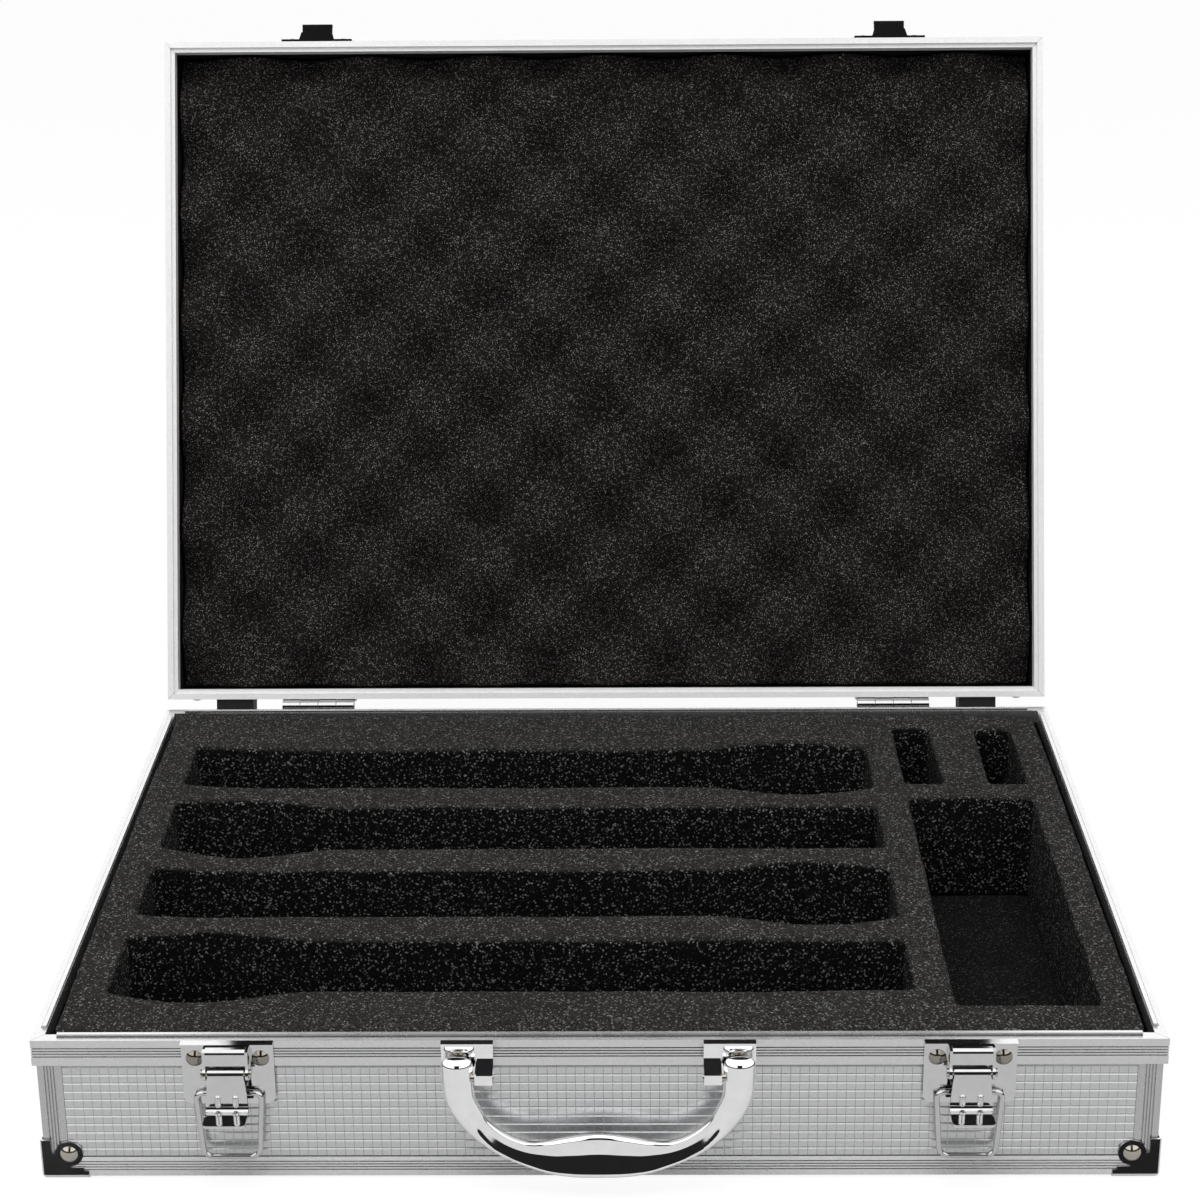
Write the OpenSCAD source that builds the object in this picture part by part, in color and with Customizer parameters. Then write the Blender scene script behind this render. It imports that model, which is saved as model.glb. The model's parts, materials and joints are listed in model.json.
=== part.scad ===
// Aluminium framed hard case for four handheld microphones, shown with its lid open.
// Origin: centre of the underside of the base. X to the right, Y to the back, Z up.

/* [Case] */
// Width over the rims
case_w = 400; // [385:1:460]
// Depth over the rims, front to back
case_d = 300; // [290:1:340]
// Height of the base, from its underside to its rim
base_h = 56.3; // [50:0.1:90]
// Height of the lid, from its rim to its top
lid_h = 28.6; // [26:0.1:60]
// Angle at which the open lid rests on its rear feet
open_angle = 110; // [100:1:120]
// Gap between the two rims when the lid is shut
part_gap = 0.3; // [0.2:0.05:0.6]

/* [Walls and frame] */
// Thickness of the wall panels
panel_t = 2.6; // [2:0.1:3.5]
// Thickness of the bottom board and of the top board
board_t = 3; // [2.5:0.1:5]
// How far the rims stand proud of the panels
rim_proud = 1.1; // [0.9:0.05:1.6]
// Height of a rim's outer band
rim_h = 10; // [9:0.5:14]
// Thickness of the rim's web over the panel edge
rim_web = 1.2; // [0.8:0.1:1.6]
// Thickness of the rim's inner lip
rim_lip_t = 0.7; // [0.5:0.1:1]
// Height of the rim's inner lip
rim_lip_h = 6; // [4:0.5:8]
// Width of the lid rim's outer land, which covers the tongue
land_w = 2.6; // [2.2:0.1:2.8]
// Width of the base rim's tongue
tongue_w = 1.5; // [1:0.1:1.6]
// Height of the base rim's tongue
tongue_h = 1; // [0.6:0.1:1.4]
// How far the tongue stops short of each corner
tongue_end = 9; // [6:0.5:20]
// Height of the bottom and top edge sections
edge_h = 7.7; // [6.5:0.1:8.5]
// How far the edge sections stand proud of the panels
edge_proud = 0.3; // [0.2:0.05:0.6]
// Width of an edge section's flange under the board
edge_flange_w = 8; // [5:0.5:14]
// Thickness of that flange
edge_flange_t = 0.8; // [0.6:0.1:1.5]
// Width of each face of a corner post
post_w = 9; // [7.5:0.5:10]
// Radius of a corner post's outer edge
post_r = 1.2; // [0.6:0.1:2]
// Grooves in a band of ridges
rib_count = 4; // [3:1:4]
// Distance from groove to groove
rib_pitch = 1.1; // [0.8:0.05:1.3]
// Width of a groove
rib_w = 0.55; // [0.3:0.05:0.6]
// Depth of a groove
rib_d = 0.5; // [0.1:0.05:0.6]
// Thickness of the black lining
lining_t = 0.5; // [0.3:0.1:1]

/* [Corner caps and rivets] */
// Thickness of a corner cap
cap_t = 0.8; // [0.6:0.05:1]
// Reach of a corner cap along each edge
cap_w = 17; // [15.5:0.5:24]
// Height of a corner cap on each face
cap_h = 15.8; // [15:0.1:17]
// Place of the cap's rivet from the corner, along the edge
cap_rivet_x = 10.4; // [9:0.1:11]
// Place of the cap's rivet above the underside
cap_rivet_z = 10.2; // [9.5:0.1:11]
// Radius of the lobe round the cap's rivet
cap_lobe_r = 5; // [4:0.1:5.5]
// Radius of a cap's outer edges
cap_r = 1.6; // [1:0.1:2.4]
// Radius of a rivet's shank
rivet_r = 1.6; // [1.2:0.1:2]
// Radius of a rivet's head
rivet_head_r = 3.15; // [2.6:0.05:3.6]
// Height of a rivet's head
rivet_head_h = 1.4; // [0.8:0.1:1.6]
// Length of a rivet's shank behind the surface it holds
rivet_grip = 3.4; // [2:0.1:3.5]
// Distance of the hardware rivets from the rim's edge
rivet_drop = 6.5; // [5.5:0.1:7]

/* [Latches] */
// Distance of a latch from the side of the case
latch_inset = 69.5; // [40:0.5:90]
// Width of a latch plate
latch_w = 32.6; // [30:0.2:36]
// Height of a latch plate
latch_h = 24.7; // [23.5:0.1:28]
// Thickness of a latch plate
latch_t = 1; // [0.8:0.1:1.2]
// Radius of a latch plate's lower corners
latch_r = 3; // [1:0.5:4]
// Reach of the flange along the plate's top
latch_flange = 3.2; // [2:0.1:3.3]
// Distance of a latch's rivets from its centre
latch_rivet_x = 11.6; // [11.4:0.1:12.8]
// Distance between a latch's ears
ear_gap = 14; // [13.6:0.1:14.4]
// Thickness of an ear
ear_t = 1; // [0.8:0.1:1.2]
// Height of the lever's pin below the rim
pin_drop = 9.8; // [9.6:0.1:10.4]
// Distance of the lever's pin from the front of the case
pin_out = 6; // [5.8:0.1:6.4]
// Radius of the lever's pin
pin_r = 1.1; // [0.8:0.1:1.2]
// Radius of the roll round the pin
roll_r = 2.15; // [1.9:0.05:2.3]
// Thickness of the lever
lever_t = 1; // [0.8:0.1:1.2]
// Width of the lever at its roll
lever_top_w = 12.7; // [12:0.1:13.2]
// Width of the lever at its lip
lever_low_w = 14.9; // [13:0.1:16]
// Length of the lever below its pin
lever_len = 13.7; // [13.2:0.1:16]
// Reach of the lever's lip beyond its flap
lip_len = 10.2; // [6:0.2:14]
// Greatest angle to which the lever lifts
lever_lift = 120; // [60:5:120]
// Radius of the wire of the latch ring
wire_r = 1; // [0.7:0.05:1]
// Length of the latch ring between its bars
ring_len = 25.7; // [25.4:0.1:26.4]
// Width of the ring at its upper bar, on centres
ring_top_w = 23.4; // [23:0.1:25]
// Width of the ring at its lower bar, on centres
ring_low_w = 19.8; // [19.4:0.1:22]
// Height of the ring's upper bar below the lever's pin
ring_drop = 9.4; // [9:0.1:9.8]
// Distance of the ring's upper bar from the front of the case
ring_out = 3.2; // [3:0.1:3.4]
// Distance of the latched ring's bar from the front of the case
ring_shut_out = 5.2; // [5:0.1:5.6]

/* [Catches] */
// Width of a catch plate
catch_w = 32; // [30:0.5:36]
// Height of a catch plate on the lid
catch_h = 13; // [11:0.5:16]
// Thickness of a catch plate
catch_t = 1; // [0.8:0.1:1.2]
// Width of a catch's hook
hook_w = 13.7; // [12:0.1:15]
// Width of the hook's foot
hook_foot_w = 16.7; // [15:0.1:17]
// Distance of the hook's riser from the lid
hook_riser_out = 4.2; // [3.8:0.1:4.2]
// Reach of the hook
hook_out = 8.4; // [8:0.1:10]
// Height of the hook's turned-up tip
hook_tip = 1.8; // [1:0.1:2.4]

/* [Handle] */
// Distance between the middles of the handle's legs
handle_span = 98.8; // [90:0.2:130]
// Drop from the pivot to the middle of the grip
handle_drop = 31; // [24:0.5:31.5]
// Distance of the pivot from the front of the case
pivot_out = 9.2; // [9.2:0.1:10]
// Height of the pivot below the rim
pivot_drop = 9.8; // [9.8:0.1:11]
// Half thickness of the handle, across its bow, at the legs
leg_half = 5.6; // [4.6:0.1:5.8]
// Half thickness of the handle, across its bow, at the grip
grip_half = 8.1; // [6:0.1:9]
// Half depth of the handle at the legs
leg_deep = 3.8; // [3:0.1:4]
// Half depth of the handle at the grip
grip_deep = 5.6; // [4.5:0.1:6]
// How far a leg reaches above its pivot
leg_above = 6.9; // [4.6:0.1:6.9]
// Greatest angle to which the handle lifts
handle_lift = 85; // [60:5:90]
// Radius of a handle pin
handle_pin_r = 1.25; // [1:0.05:1.3]
// Width of a bracket
bracket_w = 18.4; // [17.5:0.1:20]
// Height of a bracket
bracket_h = 13.2; // [12.8:0.1:15]
// Thickness of a bracket's plate
bracket_t = 1.2; // [1:0.1:1.3]
// Width of a bracket's pivot block
block_w = 6.2; // [5.6:0.1:6.6]
// Reach of a bracket's flange and ear
bracket_flange = 3; // [2.4:0.1:3.2]
// Height of the flat rivet head behind each leg
bracket_head_h = 0.7; // [0.5:0.1:0.7]
// How far the bow's middle lies behind its pivots
bow_set = 1; // [0.5:0.1:1.2]
// Height of a bracket's pivot block
block_h = 3.8; // [3.4:0.1:4.4]
// How far a pivot block reaches beyond its pin
block_reach = 2; // [1.9:0.1:2.6]

/* [Hinges and rear feet] */
// Distance of a hinge from the side of the case
hinge_inset = 69; // [50:0.5:100]
// Width of a hinge
hinge_w = 32.8; // [28:0.4:48]
// Number of knuckles
knuckle_count = 4; // [2:2:6]
// Outer radius of a knuckle
knuckle_r = 2.6; // [2.2:0.1:2.8]
// Radius of a hinge pin
hinge_pin_r = 1.25; // [0.9:0.05:1.4]
// Distance of the hinge axis behind the case
hinge_out = 3.2; // [3.1:0.1:3.6]
// Thickness of a hinge leaf
leaf_t = 1.2; // [0.8:0.1:1.4]
// Height of a hinge leaf
leaf_h = 9.6; // [9:0.2:10]
// Distance of a rear foot from the side of the case
foot_inset = 30; // [24:0.5:38]
// Width of a rear foot
foot_w = 16.8; // [12:0.2:20]
// Height of a base foot
foot_h = 22; // [14:0.5:32]
// Height of a lid foot
lid_foot_h = 12; // [8:0.5:18]
// Distance of a foot from the rim's edge
foot_drop = 5.5; // [5:0.1:6]
// How far a foot stands out from the back
foot_out = 8; // [7.6:0.1:10]

/* [Base foam] */
// Gap between the foam and the rim's inner lip
foam_gap = 2.2; // [1:0.1:3]
// Depth of the foam's top below the rim
foam_low = 0.5; // [0.3:0.1:3]
// Thickness of the pad under the cut foam
pad_t = 5; // [3:0.5:10]
// Length of a microphone pocket
mic_len = 293.5; // [280:0.5:296]
// Width of a microphone pocket along the body
mic_w = 39; // [34:0.5:42]
// Greatest width of a microphone pocket at the head
head_w = 54; // [48:0.5:56]
// Width of a microphone pocket at the head's end
head_end_w = 41; // [38:0.5:46]
// Place of the head's widest point from the pocket's end
head_mid = 32; // [24:1:40]
// Length of the head part of the pocket
head_len = 76; // [60:1:90]
// Distance between neighbouring microphone pockets
pocket_pitch = 59.5; // [57:0.5:61]
// Distance of the rear pocket's middle from the back of the case
pocket_rear = 65; // [62:0.5:68]
// Distance of the pockets' left ends from the side of the case
pocket_left = 21; // [16:0.5:24]
// Rib of foam between the microphone pockets and the others
pocket_rib = 14; // [8:0.5:18]
// Distance of the right pockets from the side of the case
pocket_right = 19.5; // [14:0.5:22]
// Length of the large pocket, front to back
tray_len = 177; // [140:1:180]
// Distance of the large pocket from the front of the case
tray_front = 26; // [20:0.5:30]
// Width of a small pocket
slot_w = 16.2; // [10:0.2:20]
// Length of a small pocket
slot_len = 60; // [40:1:62]
// Distance of the small pockets from the back of the case
slot_rear = 22; // [18:0.5:26]

/* [Lid foam] */
// Gap between the lid foam and the rim's inner lip
lid_foam_gap = 1; // [0.5:0.1:3]
// Thickness of the lid foam between its bumps
lid_foam_t = 6; // [3:0.5:10]
// Height of a bump above the hollows
bump_h = 10; // [4:0.5:12]
// Distance between bumps, side to side
bump_x = 54.5; // [48:0.5:80]
// Distance between bumps, front to back
bump_y = 48.2; // [42:0.2:80]
// Faces across one bump
bump_steps = 5; // [4:1:5]

/* [Hidden] */
$fn = 48;

// Clearances
slip = 0.1;          // between a panel and the section that grips it
seat = 0.02;         // between a pin or shank and the piece that holds it
running = 0.06;      // between a pin and the piece that turns on it
soft_gap = 0.3;      // between foam and what it lies on
mitre_gap = 0.06;    // on each side of a mitre
leg_gap = 0.7;       // between a handle leg and its pivot block
pin_end = 0.4;       // how far a handle pin shows beyond its block
hole_end = 0.1;      // how far a rivet's hole runs past its shank
tongue_gap = 0.25;   // above the tongue, in the shut lid's rim
knuckle_gap = 0.15;  // at each end of a hinge knuckle
foot_gap = 0.15;     // between the feet when the lid rests on them
eps = 0.01;          // overlap of pieces that become one solid

// Small sizes that the views leave open
rim_groove_at = 2.9;   // lowest edge of a rim's first groove below its edge
edge_groove_at = 1.6;  // the same on an edge section
post_groove_at = 2.6;  // a post's first groove from its outer corner
cap_leg_w = 4.2;       // reach of a cap's upright leg from the corner
cap_slit = 0.9;        // between that leg and the lobe round the rivet
cap_toe_h = 3;         // height of a cap's outer end
cap_step_h = 4.6;      // height of a cap next to that end
cap_step = 1.6;        // length of the low outer end
cap_under_r = 6;       // radius of the notch in a cap's underside
tray_rib = 8;          // foam between the large pocket and the small ones
ear_rim = 0.25;        // metal of an ear beyond the lever's roll
bridge_low = 0.5;      // a latch bridge's top below the rim
bridge_t = 0.8;        // thickness of that bridge
bridge_bend = 1.5;     // its outer bend radius
bridge_gap = 1.35;     // between the bridge's lower end and the lever's roll
lip_bend = 1.8;        // radius between a lever's flap and its lip
lip_r = 1.6;           // radius of the lip's outer corners
cheek_rim = 0.9;       // metal round the ring's wire in a lever's cheek
ring_top_r = 2.6;      // bend radius at the ring's upper bar
ring_low_r = 3.6;      // bend radius at the ring's lower bar
leaf_low = 1.6;        // a hinge leaf's edge from the middle of the gap
knuckle_foot = 2.2;    // height of the strip that joins a knuckle to its leaf
hinge_rivet_z = 6.6;   // a hinge's rivets from the rim's edge

// Places worked out from the sizes above
half_w = case_w / 2;
half_d = case_d / 2;
panel_in = rim_proud + panel_t;
rim_w = panel_in + slip + rim_lip_t;
rim_wall = rim_proud - slip;
land_d = tongue_h + tongue_gap;
edge_in = rim_proud - edge_proud;
cap_in = edge_in - cap_t;
axis_y = half_d + hinge_out;
axis_z = base_h + part_gap / 2;
latch_x = half_w - latch_inset;
hinge_x = half_w - hinge_inset;
foot_x = half_w - foot_inset;
tray_l = min(tray_len, case_d - tray_front - slot_rear - slot_len - tray_rib);
foam_x = half_w - rim_w - foam_gap;
foam_y = half_d - rim_w - foam_gap;
edge_top = cap_t + edge_h;
board_top = cap_t + board_t;
pad_z = board_top + slip + lining_t + soft_gap;
insert_z = pad_z + pad_t + soft_gap;

// Sides of the case: 0 front, 1 right, 2 back, 3 left. Each is drawn as the front is.
function side_half(k) = (k % 2 == 0) ? half_d : half_w;
function side_len(k) = (k % 2 == 0) ? case_w : case_d;

module side(k) {
    rotate([0, 0, 90 * k]) children();
}

// Lid pieces are drawn shut and turned about the hinge axis to the open pose
module open_lid() {
    translate([0, axis_y, axis_z])
        rotate([-open_angle, 0, 0])
            translate([0, -axis_y, -axis_z])
                children();
}

// The lid's frame is the base's frame turned over, at the lid's height
module as_lid() {
    open_lid()
        translate([0, 0, base_h + part_gap + lid_h])
            mirror([0, 0, 1])
                children();
}

// Extrudes an outline of (distance inward, height) along one side, with mitred ends
module mitred(k, deep, h) {
    l = side_len(k) / 2 - mitre_gap;
    side(k)
        intersection() {
            translate([0, -side_half(k), 0])
                rotate([90, 0, 90])
                    linear_extrude(2 * l + 2, center = true)
                        children();
            translate([0, -side_half(k), 0])
                linear_extrude(h + 2)
                    polygon([[-l, 0], [l, 0], [l - deep, deep], [-l + deep, deep]]);
        }
}

// Grooves cut into a face that looks outward, from a height downward
module rib_cuts(face, top) {
    for (i = [0 : rib_count - 1])
        translate([face - 1, top - i * rib_pitch - rib_w])
            square([1 + rib_d, rib_w]);
}

module rim_section(h, drop) {
    difference() {
        union() {
            translate([0, h - rim_h]) square([rim_wall, rim_h]);
            translate([0, h - drop - rim_web]) square([rim_w, rim_web]);
            translate([rim_w - rim_lip_t, h - drop - rim_lip_h]) square([rim_lip_t, rim_lip_h]);
            translate([0, h - drop - rim_web]) square([land_w, drop + rim_web]);
        }
        rib_cuts(0, h - rim_groove_at);
    }
}

module rim_bar(k, h, drop) {
    mitred(k, rim_w, h)
        rim_section(h, drop);
}

module base_rim(k) {
    tongue = side_len(k) - 2 * tongue_end;
    color("silver")
        difference() {
            union() {
                rim_bar(k, base_h, 0);
                side(k)
                    translate([-tongue / 2, -side_half(k) + land_w + slip, base_h - eps])
                        cube([tongue, tongue_w, tongue_h + eps]);
            }
            side(k)
                translate([-tongue / 2, -side_half(k) + land_w + slip - rib_w, base_h - rib_w])
                    cube([tongue, rib_w, rib_w + eps]);
            if (k == 0) front_rivet_holes();
            if (k == 2) hinge_rivet_holes(-1);
        }
}

module lid_rim(k) {
    color("silver")
        open_lid()
            difference() {
                translate([0, 0, base_h + part_gap + lid_h])
                    mirror([0, 0, 1])
                        rim_bar(k, lid_h, land_d);
                if (k == 0) catch_rivet_holes();
                if (k == 2) hinge_rivet_holes(1);
            }
}

module edge_bar(k) {
    color("gainsboro")
        mitred(k, edge_in + edge_flange_w, edge_top)
            difference() {
                union() {
                    translate([edge_in, cap_t]) square([panel_in - edge_in, edge_h]);
                    translate([edge_in, cap_t]) square([edge_flange_w, edge_flange_t]);
                }
                rib_cuts(edge_in, edge_top - edge_groove_at);
            }
}

// Wall panel between the posts, from the edge section up into the rim
module wall_panel(k, h, drop) {
    l = side_len(k) - 2 * (rim_proud + post_w);
    side(k)
        translate([-l / 2, -side_half(k) + rim_proud, edge_top])
            cube([l, panel_t, h - drop - rim_web - slip - edge_top]);
}

module base_panel(k) {
    color("lightgray")
        difference() {
            wall_panel(k, base_h, 0);
            cap_rivet_holes();
            if (k == 0) front_rivet_holes();
            if (k == 2) hinge_rivet_holes(-1);
        }
}

module lid_panel(k) {
    color("lightgray")
        open_lid()
            difference() {
                translate([0, 0, base_h + part_gap + lid_h])
                    mirror([0, 0, 1])
                        difference() {
                            wall_panel(k, lid_h, land_d);
                            cap_rivet_holes();
                        }
                if (k == 0) catch_rivet_holes();
                if (k == 2) hinge_rivet_holes(1);
            }
}

// Board with a rebate on its outer face, where the edge sections and the corner caps lie
module board() {
    w = case_w - 2 * panel_in;
    d = case_d - 2 * panel_in;
    in = edge_in + edge_flange_w - panel_in;
    difference() {
        union() {
            translate([-w / 2, -d / 2, cap_t + edge_flange_t])
                cube([w, d, board_t - edge_flange_t]);
            translate([-w / 2 + in, -d / 2 + in, 0])
                cube([w - 2 * in, d - 2 * in, board_top - eps]);
        }
        four_corners()
            translate([0, 0, -1])
                cube([cap_w + slip, cap_w + slip, cap_t + 1]);
    }
}

// Repeats a piece drawn at the front left corner at all four corners
module four_corners() {
    for (i = [0, 1])
        for (j = [0, 1])
            mirror([i, 0, 0])
                mirror([0, j, 0])
                    translate([-half_w, -half_d, 0])
                        children();
}

module post_outline() {
    difference() {
        union() {
            translate([rim_proud + post_r, rim_proud]) square([post_w - post_r, panel_t]);
            translate([rim_proud, rim_proud + post_r]) square([panel_t, post_w - post_r]);
            translate([rim_proud + post_r, rim_proud + post_r]) circle(post_r);
            translate([rim_proud + post_r, rim_proud + post_r])
                square([panel_t - post_r, panel_t - post_r]);
        }
        for (i = [0 : rib_count - 1]) {
            at = rim_proud + post_groove_at + i * rib_pitch;
            translate([at, rim_proud - 1]) square([rib_w, 1 + rib_d]);
            translate([rim_proud - 1, at]) square([1 + rib_d, rib_w]);
        }
    }
}

module corner_posts(h, drop) {
    four_corners()
        difference() {
            translate([0, 0, edge_top])
                linear_extrude(h - drop - rim_web - slip - edge_top)
                    post_outline();
            cap_corner_holes();
        }
}

// Outline of one face of a cap: along the edge, up from the underside
module cap_outline() {
    difference() {
        union() {
            translate([cap_in, 0]) square([cap_w - cap_in, cap_toe_h]);
            translate([cap_in, 0]) square([cap_w - cap_step - cap_in, cap_step_h]);
            translate([cap_in, 0]) square([cap_leg_w - cap_in, cap_h]);
            translate([cap_in, 0]) square([cap_rivet_x - cap_in, cap_rivet_z]);
            translate([cap_rivet_x, cap_rivet_z]) circle(cap_lobe_r);
        }
        translate([cap_leg_w, cap_rivet_z]) square([cap_slit, cap_h]);
    }
}

// Solid block with its three outer edges and its corner rounded
module rounded_corner(size, r, at) {
    translate(at) {
        translate([r, r, r]) sphere(r);
        translate([r, r, r]) cylinder(h = size, r = r);
        translate([r, r, r]) rotate([0, 90, 0]) cylinder(h = size, r = r);
        translate([r, r, r]) rotate([-90, 0, 0]) cylinder(h = size, r = r);
        translate([r, r, 0]) cube([size, size, size]);
        translate([r, 0, r]) cube([size, size, size]);
        translate([0, r, r]) cube([size, size, size]);
    }
}

module corner_cap() {
    difference() {
        intersection() {
            rounded_corner(30, cap_r, [cap_in, cap_in, 0]);
            union() {
                rotate([90, 0, 0])
                    translate([0, 0, -edge_in])
                        linear_extrude(cap_t)
                            cap_outline();
                mirror([1, -1, 0])
                    rotate([90, 0, 0])
                        translate([0, 0, -edge_in])
                            linear_extrude(cap_t)
                                cap_outline();
                linear_extrude(cap_t)
                    difference() {
                        translate([cap_in, cap_in]) square(cap_w - cap_in);
                        translate([cap_w, cap_w]) circle(cap_under_r);
                    }
            }
        }
        cap_corner_holes();
    }
}

// Shank along Y at the front face of the case
module shank(x, z, r, out, in) {
    translate([x, in, z])
        rotate([90, 0, 0])
            cylinder(h = in + out, r = r);
}

module cap_corner_holes() {
    shank(cap_rivet_x, cap_rivet_z, rivet_r + seat, 1, rivet_grip + hole_end);
    mirror([1, -1, 0]) shank(cap_rivet_x, cap_rivet_z, rivet_r + seat, 1, rivet_grip + hole_end);
}

module cap_rivet_holes() {
    four_corners() cap_corner_holes();
}

// Domed rivet whose head lies on a face at y = 0 and looks to the front
module rivet(grip, high = rivet_head_h) {
    dome_r = (rivet_head_r * rivet_head_r + high * high) / (2 * high);
    intersection() {
        translate([0, dome_r - high, 0]) sphere(dome_r);
        translate([-10, -10, -10]) cube([20, 10, 20]);
    }
    rotate([90, 0, 0])
        translate([0, 0, -grip])
            cylinder(h = grip + eps, r = rivet_r);
}

module cap_rivets() {
    four_corners() {
        translate([cap_rivet_x, cap_in, cap_rivet_z]) rivet(rivet_grip - cap_in);
        mirror([1, -1, 0])
            translate([cap_rivet_x, cap_in, cap_rivet_z]) rivet(rivet_grip - cap_in);
    }
}

// Thin tray inside the shell, under the rim's lip
module lining(h, drop) {
    out = panel_in + slip;
    top = h - drop - rim_lip_h - slip;
    z = board_top + slip;
    difference() {
        translate([-half_w + out, -half_d + out, z])
            cube([case_w - 2 * out, case_d - 2 * out, top - z]);
        translate([-half_w + out + lining_t, -half_d + out + lining_t, z + lining_t])
            cube([case_w - 2 * (out + lining_t), case_d - 2 * (out + lining_t), top]);
    }
}

// Half width of a microphone pocket at a distance from its head end
function pocket_half(s) =
    s < head_mid ? (head_end_w + (head_w - head_end_w) * sin(90 * s / head_mid)) / 2 :
    s < head_len ? (mic_w + (head_w - mic_w) * (1 + cos(180 * (s - head_mid)
        / (head_len - head_mid))) / 2) / 2 :
    mic_w / 2;

module mic_pocket() {
    step = 4;
    head = [for (s = [0 : step : head_len]) [s, pocket_half(s)]];
    tail = [[mic_len, mic_w / 2]];
    upper = concat(head, tail);
    n = len(upper);
    lower = [for (i = [n - 1 : -1 : 0]) [upper[i][0], -upper[i][1]]];
    polygon(concat(upper, lower));
}

module base_pockets() {
    left = -half_w + pocket_left;
    right = half_w - pocket_right;
    tray_x = left + mic_len + pocket_rib;
    for (i = [0 : 3])
        translate([left + mic_len / 2, half_d - pocket_rear - i * pocket_pitch])
            rotate(i % 2 == 0 ? 180 : 0)
                translate([-mic_len / 2, 0])
                    mic_pocket();
    translate([tray_x, -half_d + tray_front]) square([right - tray_x, tray_l]);
    translate([tray_x, half_d - slot_rear - slot_len]) square([slot_w, slot_len]);
    translate([right - slot_w, half_d - slot_rear - slot_len]) square([slot_w, slot_len]);
}

module foam_insert() {
    color("dimgray")
        translate([0, 0, insert_z])
            linear_extrude(base_h - foam_low - insert_z)
                difference() {
                    square([2 * foam_x, 2 * foam_y], center = true);
                    base_pockets();
                }
}

module foam_floor_pad() {
    color("dimgray")
        translate([-foam_x, -foam_y, pad_z])
            cube([2 * foam_x, 2 * foam_y, pad_t]);
}

// Convoluted lid foam: one closed surface over a grid, bumps toward the base
module lid_foam() {
    fx = half_w - rim_w - lid_foam_gap;
    fy = half_d - rim_w - lid_foam_gap;
    nx = round(2 * fx / bump_x * bump_steps);
    ny = round(2 * fy / bump_y * bump_steps);
    back = base_h + part_gap + lid_h - pad_z;
    function px(i) = -fx + 2 * fx * i / nx;
    function py(j) = -fy + 2 * fy * j / ny;
    function crest(x, y) = cos(360 * x / bump_x) * cos(360 * y / bump_y);
    function face_z(x, y) = back - lid_foam_t - bump_h * (1 + crest(x, y)) / 2;
    top = [for (j = [0 : ny]) for (i = [0 : nx]) [px(i), py(j), face_z(px(i), py(j))]];
    nt = len(top);
    function id(i, j) = j * (nx + 1) + i;
    grid = [for (j = [0 : ny - 1]) for (i = [0 : nx - 1]) for (t = [0, 1])
        t == 0 ? [id(i, j), id(i + 1, j), id(i + 1, j + 1)]
               : [id(i, j), id(i + 1, j + 1), id(i, j + 1)]];
    ring = concat(
        [for (i = [0 : nx]) id(i, 0)],
        [for (j = [1 : ny]) id(nx, j)],
        [for (i = [nx - 1 : -1 : 0]) id(i, ny)],
        [for (j = [ny - 1 : -1 : 1]) id(0, j)]);
    n = len(ring);
    rear = [for (q = ring) [top[q][0], top[q][1], back]];
    walls = [for (q = [0 : n - 1]) [ring[q], nt + q, nt + (q + 1) % n, ring[(q + 1) % n]]];
    // The flat back, in strips from side to side: q counts up the right side, n - q the left
    first = [for (q = [nx + 1 : -1 : -1]) nt + (q + n) % n];
    last = [for (q = [n - ny + 1 : -1 : nx + ny - 1]) nt + q];
    strips = [for (j = [1 : ny - 2])
        [nt + nx + j + 1, nt + nx + j, nt + n - j, nt + n - j - 1]];
    color("dimgray")
        open_lid()
            polyhedron(concat(top, rear), concat(grid, walls, strips, [first, last]));
}

// Moves a piece drawn about the rim's edge at the middle of the front to a place along it
module at_front(x) {
    translate([x, -half_d, base_h]) children();
}

module both(x) {
    for (s = [-1, 1])
        at_front(s * x) children();
}

module front_rivet_holes() {
    both(latch_x)
        for (s = [-1, 1])
            shank(s * latch_rivet_x, -rivet_drop, rivet_r + seat, 3, rivet_grip + hole_end);
    both(handle_span / 2)
        shank(0, -rivet_drop, rivet_r + seat, 3, rivet_grip + hole_end);
}

// Extrudes an outline of (distance out from the front, height) to a width along X
module front_section(w) {
    rotate([90, 0, -90])
        linear_extrude(w, center = true)
            children();
}

// Plate that lies on the front, drawn as (x, height)
module front_plate(t) {
    rotate([90, 0, 0])
        linear_extrude(t)
            children();
}

module latch_ear_outline() {
    ear_r = roll_r + ear_rim;
    ear_foot = 1.15;
    ear_foot_out = 4;
    difference() {
        union() {
            translate([0, -pin_drop - ear_r - ear_foot])
                square([ear_foot_out, pin_drop + ear_r + ear_foot - bridge_t]);
            translate([0, -pin_drop]) square([pin_out + 1, pin_drop - bridge_t]);
            translate([pin_out, -pin_drop]) circle(ear_r);
            translate([0, -pin_drop - ear_r]) square([pin_out, ear_r]);
        }
        translate([pin_out, -pin_drop]) circle(pin_r + seat);
    }
}

// Bent strip over the lever's pin, from the flange outward and down
module latch_bridge_outline() {
    out = pin_out + 1;
    high = -bridge_low - bridge_bend;
    low = -pin_drop + roll_r + bridge_gap;
    difference() {
        union() {
            translate([0, high]) square([out - bridge_bend, bridge_bend]);
            translate([out - bridge_bend, high]) circle(bridge_bend);
            translate([out - bridge_bend, low]) square([bridge_bend, high - low]);
        }
        translate([-eps, low - 1])
            square([out - bridge_t + eps, -bridge_low - bridge_t - low + 1]);
    }
}

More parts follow.
